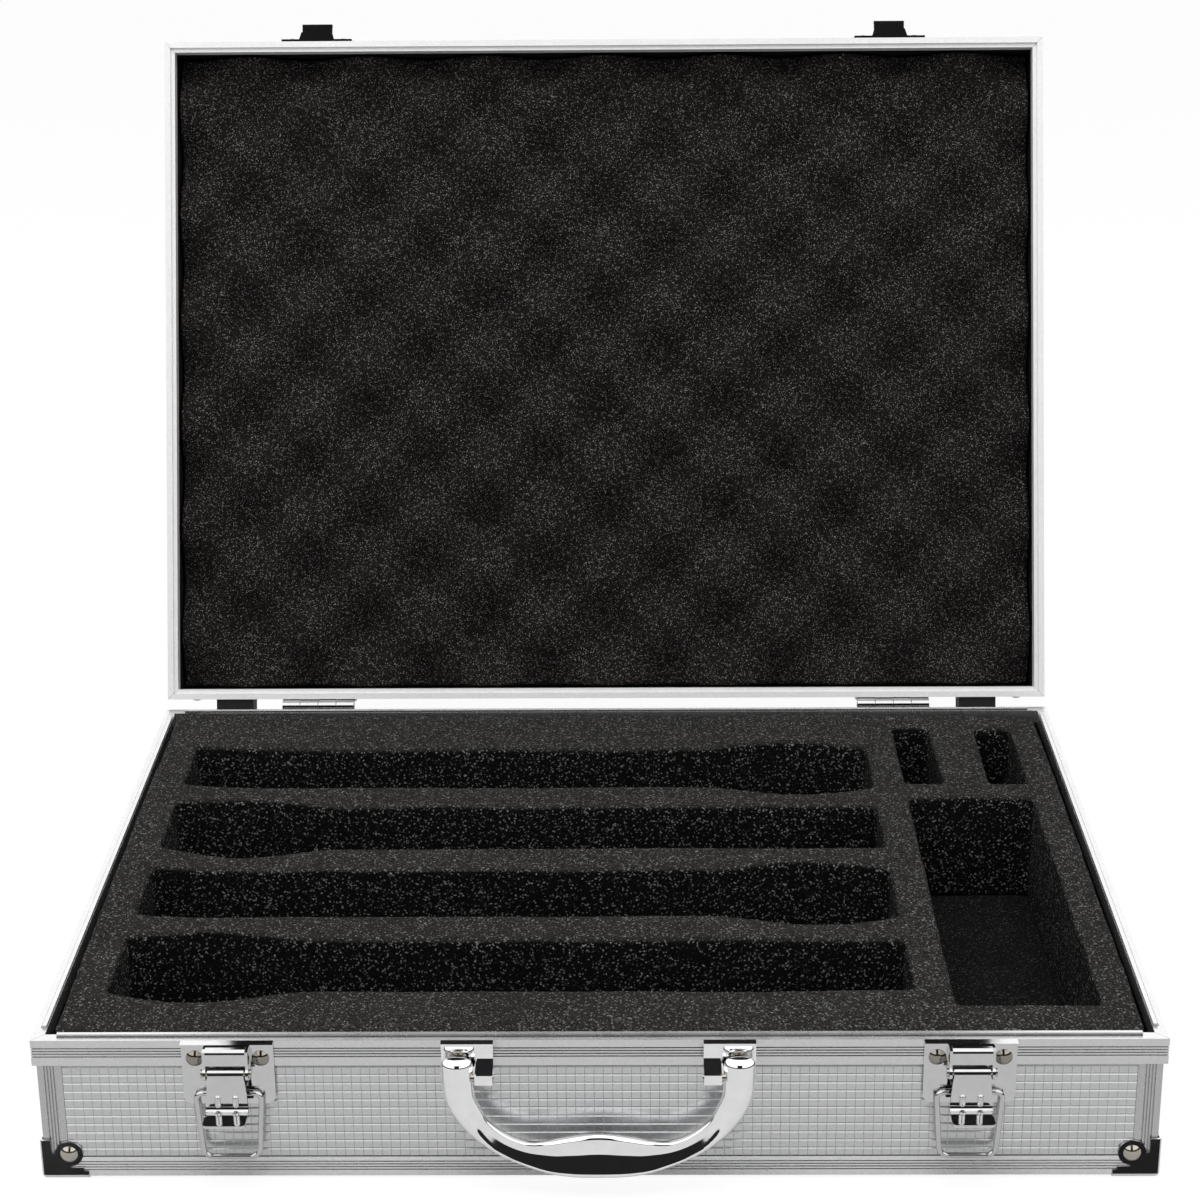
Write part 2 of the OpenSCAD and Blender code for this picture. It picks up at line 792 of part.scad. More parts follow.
module latch_plate(x) {
    color("gainsboro")
        at_front(x)
            difference() {
                union() {
                    front_plate(latch_t)
                        union() {
                            translate([-latch_w / 2, -latch_h + latch_r])
                                square([latch_w, latch_h - latch_r]);
                            translate([-latch_w / 2 + latch_r, -latch_h])
                                square([latch_w - 2 * latch_r, latch_r]);
                            for (s = [-1, 1])
                                translate([s * (latch_w / 2 - latch_r), -latch_h + latch_r])
                                    circle(latch_r);
                        }
                    translate([-latch_w / 2, -latch_flange, -1]) cube([latch_w, latch_flange, 1]);
                    for (s = [-1, 1])
                        translate([s * (ear_gap + ear_t) / 2, 0, 0])
                            front_section(ear_t) latch_ear_outline();
                    front_section(ear_gap + eps) latch_bridge_outline();
                }
                for (s = [-1, 1])
                    shank(s * latch_rivet_x, -rivet_drop, rivet_r + seat, 3, 1);
            }
}

module pin_along_x(l, r) {
    rotate([0, 90, 0]) cylinder(h = l, r = r, center = true);
}

module latch_pins() {
    head_t = 0.8;
    color("silver")
        both(latch_x)
            translate([0, -pin_out, -pin_drop]) {
                pin_along_x(ear_gap + 2 * ear_t + 2 * slip + head_t, pin_r);
                for (s = [-1, 1])
                    translate([s * (ear_gap / 2 + ear_t + slip / 2 + head_t / 2), 0, 0])
                        pin_along_x(head_t, pin_r + 0.4);
            }
}

// Lever, drawn about the rim's edge: roll, flap, lip, two ribs and two cheeks for the ring
module latch_lever(x) {
    front = pin_out + roll_r;
    lip_z = -pin_drop - lever_len;
    rib_x = 3.13;
    rib_z = 2.2;
    rib_l = 3;
    rib_r = 1.1;
    rib_sunk = 0.3;
    button_h = 0.4;
    cheek_w = 1;
    cheek_z = -pin_drop - ring_drop;
    cheek_r = wire_r + cheek_rim;
    color("gainsboro")
        at_front(x)
            difference() {
                union() {
                    translate([0, -pin_out, -pin_drop]) pin_along_x(lever_top_w, roll_r);
                    intersection() {
                        front_section(lever_low_w)
                            difference() {
                                union() {
                                    translate([front - lever_t, lip_z - lever_t])
                                        square([lever_t, -pin_drop - lip_z + lever_t]);
                                    translate([front - lever_t, lip_z - lever_t])
                                        square([lever_t + lip_len, lever_t]);
                                    translate([front - eps, lip_z - eps]) square(lip_bend);
                                }
                                translate([front + lip_bend, lip_z + lip_bend]) circle(lip_bend);
                            }
                        front_plate(60)
                            polygon([
                                [-lever_top_w / 2, -pin_drop],
                                [lever_top_w / 2, -pin_drop],
                                [lever_low_w / 2, lip_z + lip_bend],
                                [lever_low_w / 2, lip_z - 2],
                                [-lever_low_w / 2, lip_z - 2],
                                [-lever_low_w / 2, lip_z + lip_bend]
                            ]);
                        translate([0, 0, lip_z - 2])
                            linear_extrude(40)
                                lip_plan(front + lip_len);
                    }
                    for (s = [-1, 1])
                        translate([s * rib_x, 0, lip_z]) {
                            translate([0, -front + rib_sunk, rib_z]) {
                                cylinder(h = rib_l, r = rib_r);
                                sphere(rib_r);
                                translate([0, 0, rib_l]) sphere(rib_r);
                            }
                            translate([0, -front - lip_bend, 0]) cylinder(h = button_h, r = rib_r);
                        }
                    for (s = [-1, 1])
                        translate([s * (lever_top_w / 2 - cheek_rim), 0, 0])
                            front_section(cheek_w) {
                                translate([ring_out, cheek_z]) circle(cheek_r);
                                translate([ring_out, cheek_z - cheek_rim])
                                    square([front - lever_t / 2 - ring_out, cheek_rim + cheek_r]);
                            }
                }
                translate([0, -pin_out, -pin_drop]) pin_along_x(30, pin_r + running);
                translate([0, -ring_out, cheek_z]) pin_along_x(30, wire_r + running);
                translate([-30, -front + lever_t, lip_z - lever_t - 30]) cube([60, 30, 30 + 2]);
            }
}

// Plan of the lever's lip with rounded outer corners
module lip_plan(out) {
    w = lever_low_w / 2;
    translate([-w, -out + lip_r]) square([2 * w, out]);
    translate([-w + lip_r, -out]) square([2 * (w - lip_r), lip_r]);
    for (s = [-1, 1])
        translate([s * (w - lip_r), -out + lip_r]) circle(lip_r);
}

// Closed wire loop through points in a plane, with a fillet radius at each point
function unit(v) = v / norm(v);
function turn(v) = atan2(v[1], v[0]);
function corner_cut(p, a, b, r) =
    let (half = acos(unit(a - p) * unit(b - p)) / 2) r / tan(half);

module wire_loop(points, radii, r) {
    n = len(points);
    thin = 0.02;    // the straights enter the bends, and are this much thinner
    for (i = [0 : n - 1]) {
        p = points[i];
        q = points[(i + 1) % n];
        before = points[(i + n - 1) % n];
        after = points[(i + 2) % n];
        start = p + unit(q - p) * corner_cut(p, before, q, radii[i]);
        end = q + unit(p - q) * corner_cut(q, p, after, radii[(i + 1) % n]);
        translate([start[0], start[1], 0])
            rotate([0, 0, turn(end - start)])
                rotate([0, 90, 0])
                    translate([0, 0, -10 * thin])
                        cylinder(h = norm(end - start) + 20 * thin, r = r - thin);
        half = acos(unit(before - p) * unit(q - p)) / 2;
        centre = p + unit(unit(before - p) + unit(q - p)) * radii[i] / sin(half);
        from = p + unit(before - p) * corner_cut(p, before, q, radii[i]);
        translate([centre[0], centre[1], 0])
            rotate([0, 0, turn(from - centre)])
                rotate_extrude(angle = 180 - 2 * half)
                    translate([radii[i], 0])
                        circle(r);
    }
}

module latch_ring(x) {
    top = ring_top_w / 2;
    low = ring_low_w / 2;
    color("silver")
        at_front(x)
            translate([0, -ring_out, -pin_drop - ring_drop])
                rotate([90, 0, 0])
                    wire_loop(
                        [[-top, 0], [-low, -ring_len], [low, -ring_len], [top, 0]],
                        [ring_top_r, ring_low_r, ring_low_r, ring_top_r],
                        wire_r
                    );
}

// Handle. Each row: place along the half span, drop, blend from leg to grip sizes
handle_route = [
    [1, -0.12, 0], [1, 0.03, 0], [0.985, 0.25, -0.1], [0.935, 0.45, -0.25], [0.85, 0.66, -0.5],
    [0.7, 0.86, -0.6], [0.53, 0.985, -0.45], [0.36, 1.03, 0.2], [0.19, 1.02, 0.75], [0, 1, 1]
];
handle_fine = 2;
handle_sides = 20;

function spline(a, b, c, d, t) =
    0.5 * (2 * b + (c - a) * t + (2 * a - 5 * b + 4 * c - d) * t * t
        + (3 * b - a - 3 * c + d) * t * t * t);

function handle_rows() = let (n = len(handle_route) - 1)
    [for (i = [0 : n - 1]) for (s = [0 : handle_fine - 1])
        let (
            mirrored = [-handle_route[n - 1][0], handle_route[n - 1][1], handle_route[n - 1][2]],
            a = handle_route[max(i - 1, 0)],
            d = i + 2 > n ? mirrored : handle_route[i + 2]
        ) spline(a, handle_route[i], handle_route[i + 1], d, s / handle_fine)];

module handle_bow() {
    half = handle_rows();
    middle = handle_route[len(handle_route) - 1];
    rows = concat(half, [middle],
        [for (i = [len(half) - 1 : -1 : 0]) [-half[i][0], half[i][1], half[i][2]]]);
    n = len(rows);
    function at(i) = [rows[i][0] * handle_span / 2, -rows[i][1] * handle_drop];
    function across(i) = let (d = unit(at(min(i + 1, n - 1)) - at(max(i - 1, 0)))) [-d[1], d[0]];
    function wide(i) = leg_half + (grip_half - leg_half) * rows[i][2];
    function deep(i) = leg_deep + (grip_deep - leg_deep) * max(rows[i][2], 0);
    m = handle_sides;
    points = [for (i = [0 : n - 1]) for (j = [0 : m - 1])
        let (
            s = across(i) * wide(i) * cos(360 * j / m),
            y = -pivot_out + bow_set - deep(i) * sin(360 * j / m)
        ) [at(i)[0] + s[0], y, at(i)[1] + s[1]]];
    skin = [for (i = [0 : n - 2]) for (j = [0 : m - 1]) for (t = [0, 1])
        let (a = i * m + j, b = i * m + (j + 1) % m)
        t == 0 ? [a, b + m, b] : [a, a + m, b + m]];
    ends = [[for (j = [0 : m - 1]) j], [for (j = [m - 1 : -1 : 0]) (n - 1) * m + j]];
    polyhedron(points, concat(skin, ends));
}

// Upper end of a leg, round its pivot, with rounded edges all round
module leg_end() {
    back = pivot_out - bow_set - leg_deep;
    low = handle_pin_r + 1.6;
    r = leg_deep - 0.6;
    edge = leg_half - r;
    translate([0, -back, 0])
        intersection() {
            front_section(2 * leg_half) {
                translate([0, -low]) square([2 * leg_deep, low + leg_above - r]);
                translate([r, leg_above - r]) circle(r);
                translate([2 * leg_deep - r, leg_above - r]) circle(r);
                translate([r, 0]) square([2 * (leg_deep - r), leg_above]);
            }
            translate([0, 0, -low - 1])
                linear_extrude(low + leg_above + 2) {
                    translate([-leg_half, -2 * leg_deep + r]) square([2 * leg_half, 2 * (leg_deep - r)]);
                    translate([-edge, -2 * leg_deep]) square([2 * edge, 2 * leg_deep]);
                    for (x = [-edge, edge])
                        for (y = [-r, r - 2 * leg_deep])
                            translate([x, y]) circle(r);
                }
        }
}

module handle() {
    color("silver")
        at_front(0)
            translate([0, 0, -pivot_drop])
                difference() {
                    union() {
                        handle_bow();
                        for (s = [-1, 1])
                            translate([s * handle_span / 2, 0, 0]) leg_end();
                    }
                    for (s = [-1, 1])
                        translate([s * (handle_span / 2 - leg_half), -pivot_out, 0])
                            pin_along_x(2 * leg_half + 0.2, handle_pin_r + seat);
                }
}

module handle_pins() {
    pin_l = leg_half + leg_gap + block_w + pin_end;
    color("silver")
        at_front(0)
            for (s = [-1, 1])
                translate([s * (handle_span - pin_l) / 2, -pivot_out, -pivot_drop])
                    pin_along_x(pin_l, handle_pin_r);
}

// Bracket of one leg, drawn for the right side: the pivot block is on the inner side
module handle_bracket(s) {
    edge = leg_half + leg_gap + block_w;
    block_top = -pivot_drop + block_h / 2;
    color("gainsboro")
        at_front(s * handle_span / 2)
            scale([s, 1, 1])
                difference() {
                    union() {
                        translate([-edge, -bracket_t, -bracket_h])
                            cube([bracket_w, bracket_t, bracket_h]);
                        translate([-edge, -bracket_flange, -1])
                            cube([bracket_w, bracket_flange, 1]);
                        translate([-edge, -bracket_flange, block_top - eps])
                            cube([block_w, bracket_flange, -block_top]);
                        translate([-edge, -pivot_out - block_reach, block_top - block_h])
                            cube([block_w, pivot_out + block_reach, block_h]);
                    }
                    translate([-edge, -pivot_out, -pivot_drop])
                        pin_along_x(2 * block_w + 2, handle_pin_r + running);
                    shank(0, -rivet_drop, rivet_r + seat, 3, 1);
                }
}

module base_hardware_rivets() {
    color("darkkhaki") {
        both(latch_x)
            for (s = [-1, 1])
                translate([s * latch_rivet_x, -latch_t, -rivet_drop])
                    rivet(rivet_grip + latch_t);
        both(handle_span / 2)
            translate([0, -bracket_t, -rivet_drop])
                rivet(rivet_grip + bracket_t, bracket_head_h);
        hinge_rivets(-1);
    }
}

module lid_hardware_rivets() {
    both(latch_x)
        for (s = [-1, 1])
            translate([s * latch_rivet_x, -catch_t, part_gap + rivet_drop])
                rivet(rivet_grip + catch_t);
    hinge_rivets(1);
}

// Catch on the lid, drawn shut
module catch_outline() {
    flange_z = ring_shut_z() - wire_r - soft_gap - catch_t;
    union() {
        translate([0, part_gap]) square([hook_riser_out, catch_t]);
        translate([hook_riser_out - catch_t, part_gap]) square([catch_t, flange_z + catch_t - part_gap]);
        translate([hook_riser_out - catch_t, flange_z])
            square([hook_out - hook_riser_out + catch_t, catch_t]);
        translate([hook_out - catch_t, flange_z]) square([catch_t, catch_t + hook_tip]);
    }
}

// Height above the base rim of the ring's bar when it is latched
function ring_shut_z() = -pin_drop - ring_drop
    + sqrt(ring_len * ring_len - (ring_shut_out - ring_out) * (ring_shut_out - ring_out));

module catch(x) {
    color("gainsboro")
        open_lid()
            at_front(x)
                difference() {
                    union() {
                        front_plate(catch_t)
                            translate([-catch_w / 2, part_gap]) square([catch_w, catch_h]);
                        intersection() {
                            front_section(hook_foot_w) catch_outline();
                            translate([0, 0, -1])
                                linear_extrude(40)
                                    polygon([
                                        [-hook_foot_w / 2, 0],
                                        [-hook_w / 2, -hook_riser_out],
                                        [-hook_w / 2, -hook_out],
                                        [hook_w / 2, -hook_out],
                                        [hook_w / 2, -hook_riser_out],
                                        [hook_foot_w / 2, 0]
                                    ]);
                        }
                    }
                    for (s = [-1, 1])
                        shank(s * latch_rivet_x, part_gap + rivet_drop, rivet_r + seat, 3, 1);
                }
}

module catch_rivet_holes() {
    both(latch_x)
        for (s = [-1, 1])
            shank(s * latch_rivet_x, part_gap + rivet_drop, rivet_r + seat, 3, rivet_grip + hole_end);
}

// Hinges, drawn shut about the hinge axis at the middle of a hinge
knuckle_w = hinge_w / knuckle_count;

module at_hinge(x) {
    translate([x, axis_y, axis_z]) children();
}

module hinge_leaf(up) {
    first = up > 0 ? 0 : 1;
    w = knuckle_w - 2 * knuckle_gap;
    difference() {
        union() {
            translate([-hinge_w / 2, -hinge_out, up > 0 ? part_gap / 2 + leaf_low : -leaf_h])
                cube([hinge_w, leaf_t, leaf_h - (up > 0 ? 0 : part_gap / 2 + leaf_low)]);
            for (i = [first : 2 : knuckle_count - 1])
                translate([-hinge_w / 2 + i * knuckle_w + knuckle_gap, 0, 0]) {
                    rotate([0, 90, 0]) cylinder(h = w, r = knuckle_r);
                    translate([0, -hinge_out, up > 0 ? part_gap / 2 : -part_gap / 2 - knuckle_foot])
                        cube([w, leaf_t, knuckle_foot]);
                }
        }
        pin_along_x(hinge_w + 2, hinge_pin_r + (up > 0 ? running : seat));
        for (s = [-1, 1])
            translate([s * hinge_w / 4, -hinge_out + 5, up * (part_gap / 2 + hinge_rivet_z)])
                rotate([90, 0, 0])
                    cylinder(h = 10, r = rivet_r + seat);
    }
}

module hinge_rivet_holes(up) {
    for (x = [-hinge_x, hinge_x])
        for (s = [-1, 1])
            at_hinge(x + s * hinge_w / 4)
                translate([0, -hinge_out + 3, up * (part_gap / 2 + hinge_rivet_z)])
                    rotate([90, 0, 0])
                        cylinder(h = 3 + rivet_grip + hole_end, r = rivet_r + seat);
}

module hinge_rivets(up) {
    for (x = [-hinge_x, hinge_x])
        for (s = [-1, 1])
            at_hinge(x + s * hinge_w / 4)
                translate([0, -hinge_out + leaf_t, up * (part_gap / 2 + hinge_rivet_z)])
                    mirror([0, 1, 0])
                        rivet(rivet_grip + leaf_t);
}

module hinge_pins() {
    color("silver")
        for (x = [-hinge_x, hinge_x])
            at_hinge(x) pin_along_x(hinge_w, hinge_pin_r);
}

// Rear foot: drawn for the base with height measured down, the lid's is the same turned over
module rear_foot(tall) {
    meet = open_angle / 2;
    top = axis_z - foot_drop;
    rotate([90, 0, 90])
        linear_extrude(foot_w, center = true)
            difference() {
                union() {
                    translate([half_d, top - tall]) square([foot_out, tall]);
                    translate([half_d - rim_proud + slip, top - tall])
                        square([foot_out / 2, tall - (rim_h - foot_drop) - part_gap / 2 - slip]);
                }
                translate([axis_y, axis_z])
                    rotate(-meet)
                        translate([0, -foot_gap])
                            square([30, 30]);
            }
}

module rear_feet_base() {
    color("black")
        for (x = [-foot_x, foot_x])
            translate([x, 0, 0]) rear_foot(foot_h);
}

module rear_feet_lid() {
    color("black")
        open_lid()
            for (x = [-foot_x, foot_x])
                translate([x, 0, 2 * axis_z])
                    mirror([0, 0, 1])
                        rear_foot(lid_foot_h);
}

color("gray") board();  // base_bottom_board
base_panel(0);  // base_front_panel
base_panel(1);  // base_right_panel
base_panel(2);  // base_back_panel
base_panel(3);  // base_left_panel
base_rim(0);  // base_front_rim
base_rim(1);  // base_right_rim
base_rim(2);  // base_back_rim
base_rim(3);  // base_left_rim
edge_bar(0);  // base_front_edge
edge_bar(1);  // base_right_edge
edge_bar(2);  // base_back_edge
edge_bar(3);  // base_left_edge
color("silver") corner_posts(base_h, 0);  // base_corner_posts
color("gainsboro") four_corners() corner_cap();  // base_corner_caps
color("darkkhaki") cap_rivets();  // base_cap_rivets
color("black") lining(base_h, 0);  // base_lining
foam_floor_pad();
foam_insert();
latch_plate(-latch_x);  // latch_plate_left
latch_plate(latch_x);  // latch_plate_right
latch_pins();
latch_lever(-latch_x);  // latch_lever_left
latch_lever(latch_x);  // latch_lever_right
latch_ring(-latch_x);  // latch_ring_left
latch_ring(latch_x);  // latch_ring_right
handle_bracket(-1);  // handle_bracket_left
handle_bracket(1);  // handle_bracket_right
handle();
handle_pins();
base_hardware_rivets();
color("gainsboro") at_hinge(-hinge_x) hinge_leaf(-1);  // hinge_leaf_base_left
color("gainsboro") at_hinge(hinge_x) hinge_leaf(-1);  // hinge_leaf_base_right
hinge_pins();
rear_feet_base();
color("gray") as_lid() board();  // lid_top_board
lid_panel(0);  // lid_front_panel
lid_panel(1);  // lid_right_panel
lid_panel(2);  // lid_back_panel
lid_panel(3);  // lid_left_panel
lid_rim(0);  // lid_front_rim
lid_rim(1);  // lid_right_rim
lid_rim(2);  // lid_back_rim
lid_rim(3);  // lid_left_rim
as_lid() edge_bar(0);  // lid_front_edge
as_lid() edge_bar(1);  // lid_right_edge
as_lid() edge_bar(2);  // lid_back_edge
as_lid() edge_bar(3);  // lid_left_edge
color("silver") as_lid() corner_posts(lid_h, land_d);  // lid_corner_posts
color("gainsboro") as_lid() four_corners() corner_cap();  // lid_corner_caps
color("darkkhaki") as_lid() cap_rivets();  // lid_cap_rivets
color("black") as_lid() lining(lid_h, land_d);  // lid_lining
lid_foam();
catch(-latch_x);  // catch_left
catch(latch_x);  // catch_right
color("darkkhaki") open_lid() lid_hardware_rivets();
color("gainsboro") open_lid() at_hinge(-hinge_x) hinge_leaf(1);  // hinge_leaf_lid_left
color("gainsboro") open_lid() at_hinge(hinge_x) hinge_leaf(1);  // hinge_leaf_lid_right
rear_feet_lid();
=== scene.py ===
import json
import math

import bmesh
import bpy
from mathutils import Matrix, Vector, noise


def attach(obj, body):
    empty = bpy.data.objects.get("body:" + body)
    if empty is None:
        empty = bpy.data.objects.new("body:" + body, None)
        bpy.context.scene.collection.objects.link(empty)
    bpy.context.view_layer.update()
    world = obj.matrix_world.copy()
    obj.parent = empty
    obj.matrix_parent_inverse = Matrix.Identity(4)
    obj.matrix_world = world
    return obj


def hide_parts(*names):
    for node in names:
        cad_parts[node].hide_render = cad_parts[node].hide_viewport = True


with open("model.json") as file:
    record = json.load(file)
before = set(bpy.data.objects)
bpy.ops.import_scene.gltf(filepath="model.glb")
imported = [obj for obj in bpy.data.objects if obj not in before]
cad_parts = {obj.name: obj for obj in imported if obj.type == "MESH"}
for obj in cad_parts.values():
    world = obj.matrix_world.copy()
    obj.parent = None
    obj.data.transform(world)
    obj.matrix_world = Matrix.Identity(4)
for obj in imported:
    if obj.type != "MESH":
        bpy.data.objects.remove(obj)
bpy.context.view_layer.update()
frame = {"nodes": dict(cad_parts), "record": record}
nodes = frame["nodes"]

MM = 0.001
# Sizes in millimetres, the same as in the part's source
W, D, BASE_H, LID_H, GAP = 400.0, 300.0, 56.3, 28.6, 0.3
HINGE_OUT, OPEN = 3.2, 110.0
RIM_PROUD, RIM_LIP_T, RIM_WEB, POST_W = 1.1, 0.7, 1.2, 9.0
PANEL_T, BOARD_T, FLANGE_T, LINING_T = 2.6, 3.0, 0.8, 0.5
SLIP, SOFT_GAP = 0.1, 0.3
# Height of the wall panels' lower edges, and the room that the base rim's tongue takes in the lid
PANEL_FOOT, LID_TONGUE = 8.5, 1.25
HW, HD = W / 2, D / 2
WALL_IN = RIM_PROUD + PANEL_T + SLIP + RIM_LIP_T
AXIS_Y, AXIS_Z = HD + HINGE_OUT, BASE_H + GAP / 2
PARTS, ENDS = ("base", "lid"), ("left", "right")
WALLS = ("front", "right", "back", "left")

# Lid pieces are made shut, in millimetres, and turned about the hinge to the open pose
TO_OPEN = (Matrix.Translation((0, AXIS_Y, AXIS_Z)) @ Matrix.Rotation(math.radians(-OPEN), 4, "X")
           @ Matrix.Translation((0, -AXIS_Y, -AXIS_Z)))


def mesh_object(name, verts, faces, matrix=None):
    """Object from points in millimetres, moved by the matrix."""
    mesh = bpy.data.meshes.new(name)
    mesh.from_pydata([tuple((matrix @ Vector(v) if matrix else Vector(v)) * MM) for v in verts],
                     [], faces)
    mesh.validate()
    bm = bmesh.new()
    bm.from_mesh(mesh)
    bmesh.ops.recalc_face_normals(bm, faces=bm.faces)
    bm.to_mesh(mesh)
    bm.free()
    obj = bpy.data.objects.new(name, mesh)
    bpy.context.scene.collection.objects.link(obj)
    return obj


def smooth(obj, degrees):
    for p in obj.data.polygons:
        p.use_smooth = True
    obj.data.set_sharp_from_angle(angle=math.radians(degrees))


def bevel(obj, width, degrees=35.0):
    m = obj.modifiers.new("edge", "BEVEL")
    m.width = width * MM
    m.segments = 2
    m.limit_method = "ANGLE"
    m.angle_limit = math.radians(degrees)
    m.use_clamp_overlap = True


# Materials
def principled(name, colour, metallic, rough):
    mat = bpy.data.materials.new(name)
    mat.use_nodes = True
    nt = mat.node_tree
    b = nt.nodes["Principled BSDF"]
    b.inputs["Base Color"].default_value = (*colour, 1.0)
    b.inputs["Metallic"].default_value = metallic
    b.inputs["Roughness"].default_value = rough
    return mat, nt, b


def coords(nt):
    return nt.nodes.new("ShaderNodeTexCoord").outputs["Object"]


def noise_node(nt, vector, scale, detail=3.0, rough=0.55):
    n = nt.nodes.new("ShaderNodeTexNoise")
    n.inputs["Scale"].default_value = scale
    n.inputs["Detail"].default_value = detail
    n.inputs["Roughness"].default_value = rough
    nt.links.new(vector, n.inputs["Vector"])
    return n.outputs["Fac"]


def ramp(nt, value, stops):
    r = nt.nodes.new("ShaderNodeValToRGB")
    el = r.color_ramp.elements
    while len(el) < len(stops):
        el.new(0.5)
    for e, (at, c) in zip(el, stops):
        e.position = at
        e.color = (*c, 1.0)
    nt.links.new(value, r.inputs["Fac"])
    return r.outputs["Color"]


def bump(nt, height, strength, distance, target):
    b = nt.nodes.new("ShaderNodeBump")
    b.inputs["Strength"].default_value = strength
    b.inputs["Distance"].default_value = distance
    nt.links.new(height, b.inputs["Height"])
    nt.links.new(b.outputs["Normal"], target)


# Reach of the painted shade in the metal's grooves, in metres, and size and share of the painted glints
# on the foam's walls
GROOVE_REACH = 0.0006
WALL_GLINT_SCALE, WALL_GLINT_SHARE = 1800.0, 0.12


def metal(name, colour, rough, spread, grain, grooves=False, metallic=1.0):
    """Metal with a slight mottle in tone and gloss, and painted shade down in its grooves if asked."""
    mat, nt, b = principled(name, colour, metallic, rough)
    v = coords(nt)
    lo = tuple(c * 0.96 for c in colour)
    hi = tuple(min(c * 1.03, 1.0) for c in colour)
    tone = ramp(nt, noise_node(nt, v, grain, 3.0), [(0.3, lo), (0.7, hi)])
    if grooves:
        # Painted shade: occlusion darkens the colour down in the grooves, where shade falls
        shade = nt.nodes.new("ShaderNodeAmbientOcclusion")
        shade.samples = 16
        shade.inputs["Distance"].default_value = GROOVE_REACH
        dark = ramp(nt, shade.outputs["AO"], [(0.35, (0.15,) * 3), (0.62, (1, 1, 1))])
        tone = mix(nt, "MULTIPLY", tone, dark)
    nt.links.new(tone, b.inputs["Base Color"])
    r = ramp(nt, noise_node(nt, v, grain * 0.13, 2.0),
             [(0.3, (rough - spread,) * 3), (0.7, (rough + spread,) * 3)])
    nt.links.new(r, b.inputs["Roughness"])
    return mat


def mix(nt, mode, a, b, fac=1.0):
    m = nt.nodes.new("ShaderNodeMix")
    m.data_type = "RGBA"
    m.blend_type = mode
    if isinstance(fac, float):
        m.inputs["Factor"].default_value = fac
    else:
        nt.links.new(fac, m.inputs["Factor"])
    nt.links.new(a, m.inputs["A"])
    nt.links.new(b, m.inputs["B"])
    return m.outputs["Result"]


def plastic(name, low, high, rough):
    """Moulded plastic: a fine mottle in colour and gloss, and a light grain."""
    mat, nt, b = principled(name, high, 0.0, rough)
    v = coords(nt)
    fine = noise_node(nt, v, 900.0, 3.0)
    nt.links.new(ramp(nt, fine, [(0.35, low), (0.65, high)]), b.inputs["Base Color"])
    gloss = ramp(nt, noise_node(nt, v, 120.0, 2.0),
                 [(0.3, (rough - 0.06,) * 3), (0.7, (rough + 0.06,) * 3)])
    nt.links.new(gloss, b.inputs["Roughness"])
    bump(nt, fine, 0.25, 0.0001, b.inputs["Normal"])
    return mat


def painted_glints(nt, vector, scale, share, colour):
    """Painted glints: bright flecks added to the colour where cut cells would catch the light, on that
    share of the cells.
    """
    cell = nt.nodes.new("ShaderNodeTexVoronoi")
    cell.inputs["Scale"].default_value = scale
    nt.links.new(vector, cell.inputs["Vector"])
    part = nt.nodes.new("ShaderNodeSeparateColor")
    nt.links.new(cell.outputs["Color"], part.inputs["Color"])
    return ramp(nt, part.outputs["Red"], [(1 - share, (0, 0, 0)), (1.0, colour)])


def foam(name, low, high, glint, share, wall_tone_and_shade=1.0, wall_glint=None, glint_scale=1900.0):
    """Open foam with painted glints; its upright cut walls get a darker tone, partly their own and
    partly painted shade, and painted glints of their own if asked.
    """
    mat, nt, b = principled(name, high, 0.0, 0.95)
    b.inputs["Specular IOR Level"].default_value = 0.1
    v = coords(nt)
    fine = noise_node(nt, v, 1500.0, 3.0, 0.75)
    wide = ramp(nt, noise_node(nt, v, 45.0, 3.0), [(0.3, (0.84,) * 3), (0.7, (1.1,) * 3)])
    top = mix(nt, "MULTIPLY", ramp(nt, fine, [(0.36, low), (0.64, high)]), wide)
    # Painted glints: bright flecks added to the face's colour
    top = mix(nt, "ADD", top, painted_glints(nt, v, glint_scale, share, glint))
    if wall_glint:
        # The upright cut walls are darker: partly the open cells' own tone, partly painted shade where
        # less light falls on them
        wall = ramp(nt, fine, [(0.40, tuple(c * wall_tone_and_shade for c in low)),
                               (0.64, tuple(c * wall_tone_and_shade for c in high))])
        # Painted glints on the cut walls too
        wall = mix(nt, "ADD", wall, painted_glints(nt, v, WALL_GLINT_SCALE, WALL_GLINT_SHARE, wall_glint))
        geo = nt.nodes.new("ShaderNodeNewGeometry")
        sep = nt.nodes.new("ShaderNodeSeparateXYZ")
        nt.links.new(geo.outputs["Normal"], sep.inputs["Vector"])
        up = ramp(nt, sep.outputs["Z"], [(0.35, (0, 0, 0)), (0.75, (1, 1, 1))])
        top = mix(nt, "MIX", wall, top, up)
    nt.links.new(top, b.inputs["Base Color"])
    bump(nt, fine, 1.0, 0.0005, b.inputs["Normal"])
    return mat


def tilt_up(mat, amount):
    """The faces reflect as if they leaned back a little, as pressed caps do."""
    nt = mat.node_tree
    geo = nt.nodes.new("ShaderNodeNewGeometry")
    add = nt.nodes.new("ShaderNodeVectorMath")
    add.operation = "ADD"
    add.inputs[1].default_value = (0.0, 0.0, amount)
    nt.links.new(geo.outputs["Normal"], add.inputs[0])
    unit = nt.nodes.new("ShaderNodeVectorMath")
    unit.operation = "NORMALIZE"
    nt.links.new(add.outputs["Vector"], unit.inputs[0])
    nt.links.new(unit.outputs["Vector"], nt.nodes["Principled BSDF"].inputs["Normal"])
    return mat


